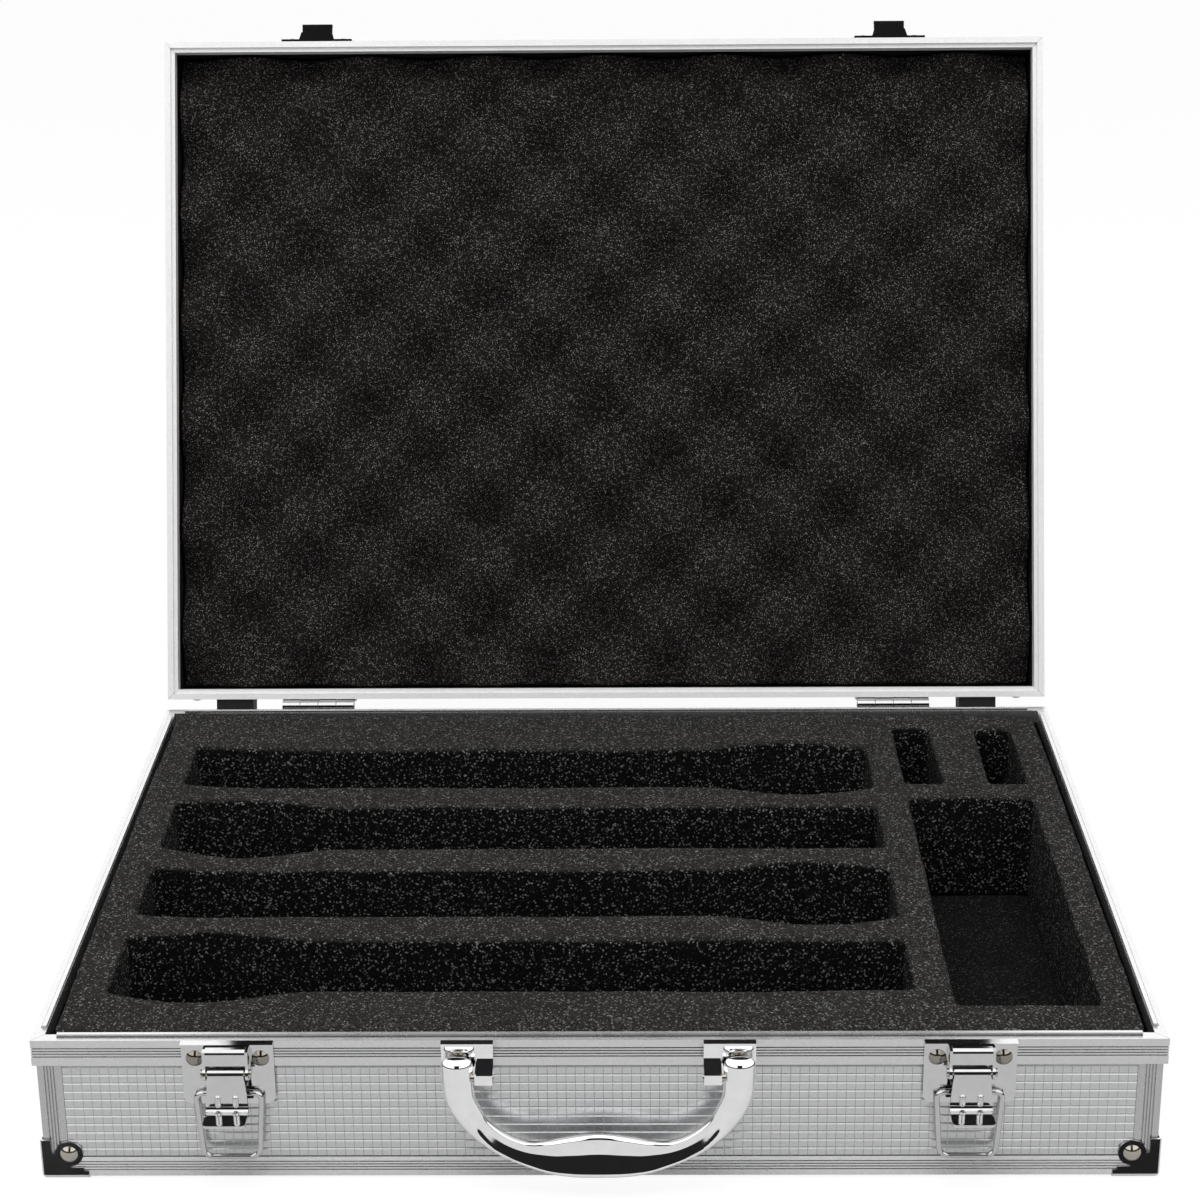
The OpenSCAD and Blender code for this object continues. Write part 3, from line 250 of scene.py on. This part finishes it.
# Colour of the foams' deepest cells
DEEP_CELLS = (0.001, 0.0009, 0.0008)
MATERIALS = {
    "rim_aluminium": metal("rim_aluminium", (0.68, 0.68, 0.685), 0.27, 0.03, 700.0, True, 0.9),
    "edge_aluminium": metal("edge_aluminium", (0.80, 0.80, 0.805), 0.27, 0.03, 700.0, True, 0.8),
    "post_aluminium": metal("post_aluminium", (0.52, 0.52, 0.525), 0.27, 0.03, 700.0, True, 0.8),
    # Painted light: a paler, less metallic copy of the rim aluminium makes the lid rims lighter, as the
    # light from above falls on them
    "lit_lid_rim_aluminium": metal("lit_lid_rim_aluminium", (0.93, 0.93, 0.93), 0.35, 0.03, 700.0, True, 0.3),
    "panel_silver": metal("panel_silver", (0.60, 0.605, 0.61), 0.24, 0.03, 900.0, False, 0.8),
    "steel_chrome": tilt_up(metal("steel_chrome", (0.62, 0.62, 0.625), 0.06, 0.02, 300.0), 0.13),
    "ring_chrome": metal("ring_chrome", (0.58, 0.58, 0.585), 0.06, 0.02, 300.0),
    "cap_chrome": tilt_up(metal("cap_chrome", (0.70, 0.70, 0.705), 0.09, 0.03, 300.0), 0.38),
    "cast_chrome": metal("cast_chrome", (0.91, 0.91, 0.915), 0.045, 0.015, 200.0),
    "bracket_chrome": tilt_up(metal("bracket_chrome", (0.90, 0.90, 0.905), 0.05, 0.015, 200.0), 0.13),
    "rivet_nickel": metal("rivet_nickel", (0.46, 0.43, 0.38), 0.14, 0.03, 300.0),
    "rivet_dark": metal("rivet_dark", (0.30, 0.28, 0.245), 0.10, 0.03, 300.0),
    "foot_black": plastic("foot_black", (0.010,) * 3, (0.016,) * 3, 0.5),
    "lining_black": foam("lining_black", (0.004,) * 3, (0.012,) * 3, (0.01,) * 3, 0.02),
    "foam_dark": foam("foam_dark", DEEP_CELLS, (0.040, 0.038, 0.036), (0.20,) * 3, 0.14, 0.3,
                      (0.32, 0.315, 0.31)),
    "foam_pad": foam("foam_pad", (0.001,) * 3, (0.014, 0.0135, 0.013), (0.05,) * 3, 0.10),
    "foam_lid": foam("foam_lid", DEEP_CELLS, (0.018, 0.0158, 0.0149),
                     (0.20, 0.185, 0.18), 0.13, glint_scale=2700.0),
}

LOOKS = {"foam_floor_pad": "foam_pad"}
for part in PARTS:
    LOOKS[part + "_corner_caps"] = "cap_chrome"
    LOOKS[part + "_corner_posts"] = "post_aluminium"
    LOOKS[part + "_hardware_rivets"] = "rivet_dark"
for end in ENDS:
    LOOKS["latch_ring_" + end] = "ring_chrome"
    LOOKS["handle_bracket_" + end] = "bracket_chrome"
# The lid rims take the lit copy of the rim aluminium, which carries painted light
for side in WALLS:
    LOOKS["lid_%s_rim" % side] = "lit_lid_rim_aluminium"


def dress(obj, slot):
    obj.data.materials.clear()
    obj.data.materials.append(MATERIALS[slot])


slot_of = {p["node"]: p["material_slot"] for p in frame["record"]["subparts"]}
for name, obj in nodes.items():
    dress(obj, LOOKS.get(name, slot_of[name]))
    smooth(obj, 28.0)

# Rounded edges of the hardware and the rims, in millimetres
PLATE_EDGE, CAP_EDGE, PRESSED_EDGE, RIM_EDGE = 0.34, 0.28, 0.18, 0.10
for end in ENDS:
    for stem in ("latch_plate_", "handle_bracket_"):
        bevel(nodes[stem + end], PLATE_EDGE)
    for stem in ("latch_lever_", "catch_", "hinge_leaf_base_", "hinge_leaf_lid_"):
        bevel(nodes[stem + end], PRESSED_EDGE)
for part in PARTS:
    bevel(nodes[part + "_corner_caps"], CAP_EDGE)
    for side in WALLS:
        bevel(nodes["%s_%s_rim" % (part, side)], RIM_EDGE, 60.0)


def made(obj, slot, body, *names):
    """The object stands for these CAD nodes, in that finish, on that body."""
    dress(obj, slot)
    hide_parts(*names)
    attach(obj, body)
    return obj


# Embossed sheets: raised squares with fine grooves between them, half widths and depths
PITCH = 3.3
GROOVE_UP, GROOVE_UP_D = 0.17, 0.14
GROOVE_ACROSS, GROOVE_ACROSS_D = 0.42, 0.40


def cuts(length, half):
    """Places of the mesh lines along a side of that length, with the groove depth at each."""
    n = max(1, round(length / PITCH))
    p = length / n
    out = []
    for i in range(n):
        out += [(i * p, 1.0), (i * p + half, 0.0), ((i + 1) * p - half, 0.0)]
    out.append((length, 1.0))
    return out


def embossed(name, w, h, t, matrix):
    """Slab of w along X and h along Z whose face at y = 0 looks to -Y and is embossed."""
    us, vs = cuts(w, GROOVE_UP), cuts(h, GROOVE_ACROSS)
    nu, nv = len(us), len(vs)
    verts = [(u - w / 2, max(GROOVE_UP_D * du, GROOVE_ACROSS_D * dv), v)
             for v, dv in vs for u, du in us]
    faces = [(j * nu + i, j * nu + i + 1, (j + 1) * nu + i + 1, (j + 1) * nu + i)
             for j in range(nv - 1) for i in range(nu - 1)]
    k = len(verts)
    verts += [(-w / 2, t, 0), (w / 2, t, 0), (w / 2, t, h), (-w / 2, t, h)]
    faces.append((k, k + 3, k + 2, k + 1))
    faces.append(tuple(range(nu - 1, -1, -1)) + (k, k + 1))
    faces.append(tuple(range((nv - 1) * nu, nv * nu)) + (k + 2, k + 3))
    faces.append(tuple(j * nu for j in range(nv)) + (k + 3, k))
    faces.append(tuple(j * nu + nu - 1 for j in range(nv - 1, -1, -1)) + (k + 1, k + 2))
    return mesh_object(name, verts, faces, matrix)


def wall(part, k, side):
    """Wall panel of the base or the lid on side k: 0 front, 1 right, 2 back, 3 left."""
    half, length = (HD, W) if k % 2 == 0 else (HW, D)
    top = (BASE_H if part == "base" else LID_H - LID_TONGUE) - RIM_WEB - SLIP
    m = (Matrix.Rotation(math.radians(90 * k), 4, "Z")
         @ Matrix.Translation((0, -half + RIM_PROUD, PANEL_FOOT)))
    if part == "lid":
        over = Matrix.Translation((0, 0, BASE_H + GAP + LID_H)) @ Matrix.Scale(-1, 4, (0, 0, 1))
        m = TO_OPEN @ over @ m
    node = "%s_%s_panel" % (part, side)
    sheet = embossed(node + "_sheet", length - 2 * (RIM_PROUD + POST_W), top - PANEL_FOOT, PANEL_T, m)
    made(sheet, "panel_silver", part, node)


for k, side in enumerate(WALLS):
    for part in PARTS:
        wall(part, k, side)

# Handle: one tube swept from leg to leg along the bow, with the front of the grip a leaning facet.
# A point of the route holds its share of the half span, of the drop, and of the way from the
# leg's section to the grip's
ROUTE = [(1, -0.12, 0), (1, 0.03, 0), (0.985, 0.25, -0.1), (0.935, 0.45, -0.25),
         (0.85, 0.66, -0.5), (0.7, 0.86, -0.6), (0.53, 0.985, -0.45), (0.36, 1.03, 0.2),
         (0.19, 1.02, 0.75), (0, 1, 1)]
SPAN, DROP = 98.8, 31.0
# Half widths and half depths of a leg and of the grip
LEG_HALF, GRIP_HALF, LEG_DEEP, GRIP_DEEP = 5.6, 8.1, 3.8, 5.6
# Place of the pivots, a leg's reach above them, and how far the bow is set back
PIVOT_OUT, PIVOT_DROP, LEG_ABOVE, BOW_SET = 9.2, 9.8, 6.9, 1.0
# Height of a leg's domed top, and its rows of points
LEG_DOME, DOME_ROWS = 2.6, 8
# Across the grip, from -1 at its upper edge to 1: where its rounded edge ends, and its depth there
UPPER_EDGE, EDGE_DEEP = -0.8, 0.41
# The same for the facet's edges, and how far they rise towards the grip's ends
FACET_TOP, FACET_LOW, FACET_RISE = -0.18, 0.74, 0.26
UPPER_LEAN, FACET_LEAN = math.tan(math.radians(3)), math.tan(math.radians(21))
# Where the facet fades along the bow, the height below which it starts, and the slant of its ends
FACET_X, FACET_Y, FACET_SLANT = (42.0, 49.4), -8.0, 10.0
ROWS_FINE, SIDES = 7, 64


def spline(a, b, c, d, t):
    """Point at t between b and c on a smooth curve through all four."""
    return tuple(0.5 * (2 * q + (r - p) * t + (2 * p - 5 * q + 4 * r - s) * t * t
                        + (3 * q - p - 3 * r + s) * t ** 3) for p, q, r, s in zip(a, b, c, d))


def handle_rows():
    """The route made fine, from one leg over the grip and mirrored to the other."""
    n = len(ROUTE) - 1
    rows = []
    for i in range(n):
        a = ROUTE[max(i - 1, 0)]
        last = ROUTE[n - 1]
        d = (-last[0], last[1], last[2]) if i + 2 > n else ROUTE[i + 2]
        rows += [spline(a, ROUTE[i], ROUTE[i + 1], d, s / ROWS_FINE) for s in range(ROWS_FINE)]
    half = rows + [ROUTE[n]]
    return half + [(-r[0], r[1], r[2]) for r in reversed(rows)]


def facet(u, x, wide, deep):
    """Depth of the grip's front; u runs from -1 at its upper edge to 1 at its lower edge."""
    rise = FACET_RISE * min(1.0, (x / FACET_X[0]) ** 2)
    start, end = FACET_TOP - rise, FACET_LOW - rise
    top = EDGE_DEEP * deep
    middle = top + wide * UPPER_LEAN * (start - UPPER_EDGE)
    low = middle + wide * FACET_LEAN * (end - start)
    if u < UPPER_EDGE:
        return top * math.sqrt(max(1 - ((UPPER_EDGE - u) / (1 + UPPER_EDGE)) ** 2, 0.0))
    if u < start:
        return top + wide * UPPER_LEAN * (u - UPPER_EDGE)
    if u < end:
        return middle + wide * FACET_LEAN * (u - start)
    return low * math.sqrt(max(1 - ((u - end) / (1 - end)) ** 2, 0.0))


def handle_ring(centre, across, wide, deep):
    """One section of the handle, round at the legs and faceted at the grip."""
    ring = []
    for j in range(SIDES):
        t = 2 * math.pi * j / SIDES
        u, s = math.cos(t), math.sin(t)
        y = deep * s
        if s > 0 and centre.y < FACET_Y:
            left = FACET_X[1] - abs(centre.x) - FACET_SLANT * max(u - FACET_TOP, 0)
            g = max(0.0, min(1.0, left / (FACET_X[1] - FACET_X[0])))
            y += g * g * (3 - 2 * g) * (facet(u, centre.x, wide, deep) - y)
        p = centre + across * wide * u
        ring.append((p.x, BOW_SET - PIVOT_OUT - y, p.y))
    return ring


def handle_rings():
    """Sections of the handle from one leg's domed top to the other's."""
    rows = handle_rows()
    at = [Vector((r[0] * SPAN / 2, -r[1] * DROP)) for r in rows]
    rings = []
    for i, r in enumerate(rows):
        d = (at[min(i + 1, len(at) - 1)] - at[max(i - 1, 0)]).normalized()
        rings.append(handle_ring(at[i], Vector((-d.y, d.x)), LEG_HALF + (GRIP_HALF - LEG_HALF) * r[2],
                                 LEG_DEEP + (GRIP_DEEP - LEG_DEEP) * max(r[2], 0)))
    for q in range(DOME_ROWS + 1):
        a = math.radians(90 * q / DOME_ROWS)
        less = LEG_DOME * (1 - math.cos(a))
        up = LEG_ABOVE - LEG_DOME + LEG_DOME * math.sin(a)
        first, last = (handle_ring(Vector((side * SPAN / 2, up)), Vector((side, 0)),
                                   LEG_HALF - less, LEG_DEEP - less) for side in (1, -1))
        rings = [first] + rings + [last]
    return rings


def tube_mesh(name, rings, matrix):
    """Closed tube through the rings."""
    m, n = len(rings[0]), len(rings)
    verts = [v for ring in rings for v in ring]
    faces = [(i * m + j, i * m + (j + 1) % m, (i + 1) * m + (j + 1) % m, (i + 1) * m + j)
             for i in range(n - 1) for j in range(m)]
    faces.append(tuple(range(m - 1, -1, -1)))
    faces.append(tuple((n - 1) * m + j for j in range(m)))
    return mesh_object(name, verts, faces, matrix)


handle = tube_mesh("handle_smooth", handle_rings(), Matrix.Translation((0, -HD, BASE_H - PIVOT_DROP)))
smooth(handle, 60)
made(handle, "cast_chrome", "carry_handle", "handle")

# Cut foam of the base, with the pockets' sizes and places as in the part's source
FOAM_GAP, FOAM_LOW, PAD_T = 2.2, 0.5, 5.0
FOAM_X, FOAM_Y = HW - WALL_IN - FOAM_GAP, HD - WALL_IN - FOAM_GAP
PAD_Z = FLANGE_T + BOARD_T + SLIP + LINING_T + SOFT_GAP
CUT_Z = PAD_Z + PAD_T + SOFT_GAP
FOAM_TOP = BASE_H - FOAM_LOW
MIC_LEN, MIC_W, HEAD_W, HEAD_END_W, HEAD_MID, HEAD_LEN = 293.5, 39.0, 54.0, 41.0, 32.0, 76
POCKET_COUNT, POCKET_PITCH, POCKET_REAR = 4, 59.5, 65.0
POCKET_LEFT, POCKET_RIB, POCKET_RIGHT = 21.0, 14.0, 19.5
TRAY_LEN, TRAY_FRONT = 177.0, 26.0
SLOT_W, SLOT_LEN, SLOT_REAR = 16.2, 60.0, 22.0
# Fillets of the block, the microphone pockets and the others, and when a corner gets none
BLOCK_R, POCKET_R, TRAY_R = 4.0, 2.5, 1.6
NEARLY_STRAIGHT, FILLET_SHARE, FILLET_STEPS = math.radians(150), 0.45, 3
# Distance of the points along a pocket's head, and size of the fine mesh's cells
HEAD_STEP, VOXEL = 2, 1.3


def pocket_half(s):
    """Half width of a microphone pocket, s from its head end."""
    if s < HEAD_MID:
        return (HEAD_END_W + (HEAD_W - HEAD_END_W) * math.sin(math.radians(90 * s / HEAD_MID))) / 2
    if s < HEAD_LEN:
        fall = (1 + math.cos(math.pi * (s - HEAD_MID) / (HEAD_LEN - HEAD_MID))) / 2
        return (MIC_W + (HEAD_W - MIC_W) * fall) / 2
    return MIC_W / 2


def rounded(points, r):
    """Closed outline with small fillets at its corners."""
    out = []
    n = len(points)
    for i in range(n):
        a, p, b = Vector(points[i - 1]), Vector(points[i]), Vector(points[(i + 1) % n])
        u, v = (a - p), (b - p)
        if u.angle(v) > NEARLY_STRAIGHT:
            out.append(tuple(p))
            continue
        cut = min(r, u.length * FILLET_SHARE, v.length * FILLET_SHARE)
        p0, p1 = p + u.normalized() * cut, p + v.normalized() * cut
        for q in range(FILLET_STEPS + 1):
            t = q / FILLET_STEPS
            out.append(tuple(p0 * (1 - t) ** 2 + p * 2 * t * (1 - t) + p1 * t * t))
    return out


def pockets():
    """Outlines of the microphone pockets, the large pocket and the two small ones."""
    left = -HW + POCKET_LEFT
    for i in range(POCKET_COUNT):
        upper = [(s, pocket_half(s)) for s in range(0, HEAD_LEN + 1, HEAD_STEP)] + [(MIC_LEN, MIC_W / 2)]
        outline = upper + [(s, -w) for s, w in reversed(upper)]
        y = HD - POCKET_REAR - POCKET_PITCH * i
        if i % 2 == 0:
            outline = [(left + MIC_LEN - s, y - w) for s, w in outline]
        else:
            outline = [(left + s, y + w) for s, w in outline]
        yield rounded(outline, POCKET_R)
    tray, right = left + MIC_LEN + POCKET_RIB, HW - POCKET_RIGHT
    slot_low, slot_top = HD - SLOT_REAR - SLOT_LEN, HD - SLOT_REAR
    for x0, x1, y0, y1 in ((tray, right, -HD + TRAY_FRONT, -HD + TRAY_FRONT + TRAY_LEN),
                           (tray, tray + SLOT_W, slot_low, slot_top),
                           (right - SLOT_W, right, slot_low, slot_top)):
        yield rounded([(x0, y0), (x1, y0), (x1, y1), (x0, y1)], TRAY_R)


def cut_foam():
    """Block with its pockets, as a fine mesh that can be given a cut surface."""
    curve = bpy.data.curves.new("foam_outline", "CURVE")
    curve.dimensions = "2D"
    curve.fill_mode = "BOTH"
    curve.extrude = (FOAM_TOP - CUT_Z) / 2 * MM
    outlines = [rounded([(-FOAM_X, -FOAM_Y), (FOAM_X, -FOAM_Y), (FOAM_X, FOAM_Y),
                         (-FOAM_X, FOAM_Y)], BLOCK_R)] + list(pockets())
    for pts in outlines:
        sp = curve.splines.new("POLY")
        sp.points.add(len(pts) - 1)
        for q, (x, y) in zip(sp.points, pts):
            q.co = (x * MM, y * MM, 0, 1)
        sp.use_cyclic_u = True
    temp = bpy.data.objects.new("foam_outline", curve)
    bpy.context.scene.collection.objects.link(temp)
    dg = bpy.context.evaluated_depsgraph_get()
    mesh = bpy.data.meshes.new_from_object(temp.evaluated_get(dg))
    bpy.data.objects.remove(temp)
    obj = bpy.data.objects.new("foam_cut", mesh)
    bpy.context.scene.collection.objects.link(obj)
    for v in mesh.vertices:
        v.co.z += (FOAM_TOP + CUT_Z) / 2 * MM
    bm = bmesh.new()
    bm.from_mesh(mesh)
    bmesh.ops.remove_doubles(bm, verts=bm.verts, dist=1e-6)
    bmesh.ops.recalc_face_normals(bm, faces=bm.faces)
    bm.to_mesh(mesh)
    bm.free()
    m = obj.modifiers.new("fine", "REMESH")
    m.mode = "VOXEL"
    m.voxel_size = VOXEL * MM
    dg = bpy.context.evaluated_depsgraph_get()
    fine = bpy.data.meshes.new_from_object(obj.evaluated_get(dg))
    obj.modifiers.clear()
    obj.data = fine
    return obj


# Swells of the foam's top in mm: along the left side, at the two rear corners, and a slow wave
LEFT_SWELL, LEFT_REACH, LEFT_PEAK, LEFT_LENGTH = 2.6, 26.0, 20.0, 60.0
CORNER_SWELLS = ((-1, 1.4, 60.0), (1, -1.0, 50.0))
WAVE, WAVE_X, WAVE_Y = 0.5, 55.0, 45.0
# Size and height of the cells, and of the wobble that the cut left
CELL, CELL_H, FINE_CELL_H = 1.6, 0.16, 0.10
WOBBLE, WOBBLE_ACROSS, WOBBLE_UP = 0.5, 18.0, 22.0


def uneven(x, y):
    """Height that the cut foam's top stands above its nominal height, in mm."""
    along = 0.55 + 0.45 * math.cos((y - LEFT_PEAK) / LEFT_LENGTH)
    swell = LEFT_SWELL * math.exp(-((x + FOAM_X) / LEFT_REACH) ** 2) * along
    for end, height, reach in CORNER_SWELLS:
        swell += height * math.exp(-((x - end * FOAM_X) ** 2 + (y - FOAM_Y) ** 2) / reach ** 2)
    return swell + WAVE * noise.noise(Vector((x / WAVE_X, y / WAVE_Y, 3.1)))


insert = cut_foam()
normals = [v.normal.copy() for v in insert.data.vertices]
moved = []
for v, n in zip(insert.data.vertices, normals):
    x, y, z = v.co / MM
    t = max(0.0, min(1.0, (z - CUT_Z) / (FOAM_TOP - CUT_Z)))
    p = Vector((x / CELL, y / CELL, z / CELL))
    grain = CELL_H * noise.noise(p) + FINE_CELL_H * noise.noise(p * 2.3)
    wobble = WOBBLE * noise.noise(Vector((x / WOBBLE_ACROSS, y / WOBBLE_ACROSS, z / WOBBLE_UP)))
    moved += [x + n.x * (grain + wobble), y + n.y * (grain + wobble),
              z + n.z * grain + uneven(x, y) * t * t]
insert.data.vertices.foreach_set("co", [c * MM for c in moved])
insert.data.update()
smooth(insert, 180)
made(insert, "foam_dark", "base", "foam_insert")


# Egg-crate foam of the lid
LID_FOAM_GAP, LID_FOAM_T, LID_GRID = 1.0, 6.0, 1.5
BUMP_H, BUMP_X, BUMP_Y = 10.0, 54.5, 48.2
LID_CELL, LID_CELL_H, LID_FINE_H = 1.7, 0.15, 0.12
LID_X, LID_Y = HW - WALL_IN - LID_FOAM_GAP, HD - WALL_IN - LID_FOAM_GAP
LID_BACK = BASE_H + GAP + LID_H - PAD_Z


def bumps(x, y):
    """Height of the lid foam's face in the shut case; it looks down."""
    crest = math.cos(2 * math.pi * x / BUMP_X) * math.cos(2 * math.pi * y / BUMP_Y)
    p = Vector((x / LID_CELL, y / LID_CELL, 7.0))
    grain = LID_CELL_H * noise.noise(p) + LID_FINE_H * noise.noise(p * 2.1)
    return LID_BACK - LID_FOAM_T - BUMP_H * (1 + crest) / 2 + grain


def lid_foam_mesh():
    """Block with the bumps as a grid on its face and a flat back."""
    nx, ny = round(2 * LID_X / LID_GRID), round(2 * LID_Y / LID_GRID)
    row = nx + 1
    verts = []
    for j in range(ny + 1):
        for i in range(nx + 1):
            x, y = -LID_X + 2 * LID_X * i / nx, -LID_Y + 2 * LID_Y * j / ny
            verts.append((x, y, bumps(x, y)))
    faces = [(j * row + i, j * row + i + 1, (j + 1) * row + i + 1, (j + 1) * row + i)
             for j in range(ny) for i in range(nx)]
    rim = (list(range(row)) + [(j + 1) * row + nx for j in range(ny)]
           + [ny * row + nx - 1 - i for i in range(nx)] + [(ny - 1 - j) * row for j in range(ny - 1)])
    k, n = len(verts), len(rim)
    verts += [(verts[q][0], verts[q][1], LID_BACK) for q in rim]
    faces += [(rim[q], rim[(q + 1) % n], k + (q + 1) % n, k + q) for q in range(n)]
    faces.append(tuple(range(k + n - 1, k - 1, -1)))
    return mesh_object("lid_foam_soft", verts, faces, TO_OPEN)


lid_foam = lid_foam_mesh()
smooth(lid_foam, 180)
made(lid_foam, "foam_lid", "lid", "lid_foam")


# Floor, light and surroundings
def mix_shaders(nt, fac, first, second):
    """Shader between the two; fac is a number or a socket."""
    m = nt.nodes.new("ShaderNodeMixShader")
    if isinstance(fac, float):
        m.inputs["Fac"].default_value = fac
    else:
        nt.links.new(fac, m.inputs["Fac"])
    nt.links.new(first, m.inputs[1])
    nt.links.new(second, m.inputs[2])
    return m.outputs["Shader"]


FLOOR_FAR, FLOOR_LOW = 4000, -0.2
corners = [(x * FLOOR_FAR, y * FLOOR_FAR, FLOOR_LOW) for x, y in ((-1, -1), (1, -1), (1, 1), (-1, 1))]
floor_mesh = mesh_object("floor", corners, [(0, 1, 2, 3)])
floor_mat, nt, b = principled("floor", (0.62, 0.62, 0.62), 0.0, 0.8)
nt.links.new(ramp(nt, noise_node(nt, coords(nt), 3.0), [(0.3, (0.61,) * 3), (0.7, (0.63,) * 3)]),
             b.inputs["Base Color"])
# The camera sees the floor as near white with faint shadows, the rest of the scene as pale grey
pale = nt.nodes.new("ShaderNodeBsdfDiffuse")
pale.inputs["Color"].default_value = (0.88, 0.88, 0.88, 1)
glow = nt.nodes.new("ShaderNodeEmission")
glow.inputs["Color"].default_value = (1, 1, 1, 1)
glow.inputs["Strength"].default_value = 1.05
seen = mix_shaders(nt, 0.86, pale.outputs["BSDF"], glow.outputs["Emission"])
camera_ray = nt.nodes.new("ShaderNodeLightPath").outputs["Is Camera Ray"]
nt.links.new(mix_shaders(nt, camera_ray, b.outputs["BSDF"], seen),
             nt.nodes["Material Output"].inputs["Surface"])
floor_mesh.data.materials.append(floor_mat)


def area(name, at, aim, size, watts):
    """Rectangular light at one point, aimed at another, in metres."""
    light = bpy.data.lights.new(name, "AREA")
    light.shape = "RECTANGLE"
    light.size, light.size_y = size
    light.energy = watts
    obj = bpy.data.objects.new(name, light)
    obj.location = at
    obj.rotation_euler = (Vector(aim) - Vector(at)).to_track_quat("-Z", "Y").to_euler()
    bpy.context.scene.collection.objects.link(obj)
    return obj


key = area("key", (-0.1, -0.35, 1.65), (0, 0.02, 0.05), (1.6, 1.2), 22)
key.visible_glossy = False

world = bpy.data.worlds.new("world")
bpy.context.scene.world = world
world.use_nodes = True
wt = world.node_tree
for n in list(wt.nodes):
    wt.nodes.remove(n)
direction = wt.nodes.new("ShaderNodeSeparateXYZ")
wt.links.new(wt.nodes.new("ShaderNodeTexCoord").outputs["Generated"], direction.inputs["Vector"])


def background(colour, strength):
    """One colour of light from all round."""
    node = wt.nodes.new("ShaderNodeBackground")
    node.inputs["Color"].default_value = (*colour, 1)
    node.inputs["Strength"].default_value = strength
    return node.outputs["Background"]


def combined(operation, a, b):
    m = wt.nodes.new("ShaderNodeMath")
    m.operation = operation
    wt.links.new(a, m.inputs[0])
    wt.links.new(b, m.inputs[1])
    return m.outputs["Value"]


def within(axis, low, high, soft):
    """1 where the direction's part along the axis lies between low and high, with soft ends."""
    parts = []
    for a, b in ((low - soft, low + soft), (high + soft, high - soft)):
        m = wt.nodes.new("ShaderNodeMapRange")
        m.inputs["From Min"].default_value = a
        m.inputs["From Max"].default_value = b
        wt.links.new(direction.outputs[axis], m.inputs["Value"])
        parts.append(m.outputs["Result"])
    return combined("MULTIPLY", *parts)


def dark_band(low, high):
    """Dark band all round the room, between two heights."""
    return within("Z", low, high, 0.02)


def dark_patch(wide, low, high):
    """Dark part of the room on the camera's side, between two heights."""
    across = combined("MULTIPLY", within("X", -wide, wide, 0.02), dark_band(low, high))
    return combined("MULTIPLY", across, within("Y", -2.0, -0.1, 0.05))


# Chrome sees a bright room with a dark band and patch, the camera sees white
dark = combined("MAXIMUM", dark_band(-0.1, 0.24), dark_patch(0.19, 0.20, 0.78))
room = mix_shaders(wt, dark, background((1, 1, 1), 1.5), background((0.015, 0.015, 0.016), 1.0))
ray = wt.nodes.new("ShaderNodeLightPath")
seen_by_things = mix_shaders(wt, ray.outputs["Is Glossy Ray"], background((1, 1, 1), 0.55), room)
surroundings = mix_shaders(wt, ray.outputs["Is Camera Ray"], seen_by_things, background((1, 1, 1), 1.0))
wt.links.new(surroundings, wt.nodes.new("ShaderNodeOutputWorld").inputs["Surface"])

# Camera, fitted to the photo
PITCH_DOWN, YAW, ROLL = math.radians(20.483), math.radians(-0.747), math.radians(-0.483)
CAMERA_AT = Vector((12.72, -979.88, 530.96)) * MM
FOCAL, SENSOR = 80.73, 36.0
forward = Vector((math.sin(YAW) * math.cos(PITCH_DOWN), math.cos(YAW) * math.cos(PITCH_DOWN),
                  -math.sin(PITCH_DOWN)))
level = forward.cross(Vector((0, 0, 1))).normalized()
upright = level.cross(forward)
right = math.cos(ROLL) * level + math.sin(ROLL) * upright
up = -math.sin(ROLL) * level + math.cos(ROLL) * upright
cam = bpy.data.cameras.new("camera")
cam.lens = FOCAL
cam.sensor_width = SENSOR
cam.clip_start = 0.05
cam.clip_end = 50.0
camera = bpy.data.objects.new("camera", cam)
rows = [(right[i], up[i], -forward[i], CAMERA_AT[i]) for i in range(3)]
camera.matrix_world = Matrix(rows + [(0, 0, 0, 1)])
bpy.context.scene.collection.objects.link(camera)
bpy.context.scene.camera = camera
bpy.context.scene.view_settings.view_transform = "Standard"
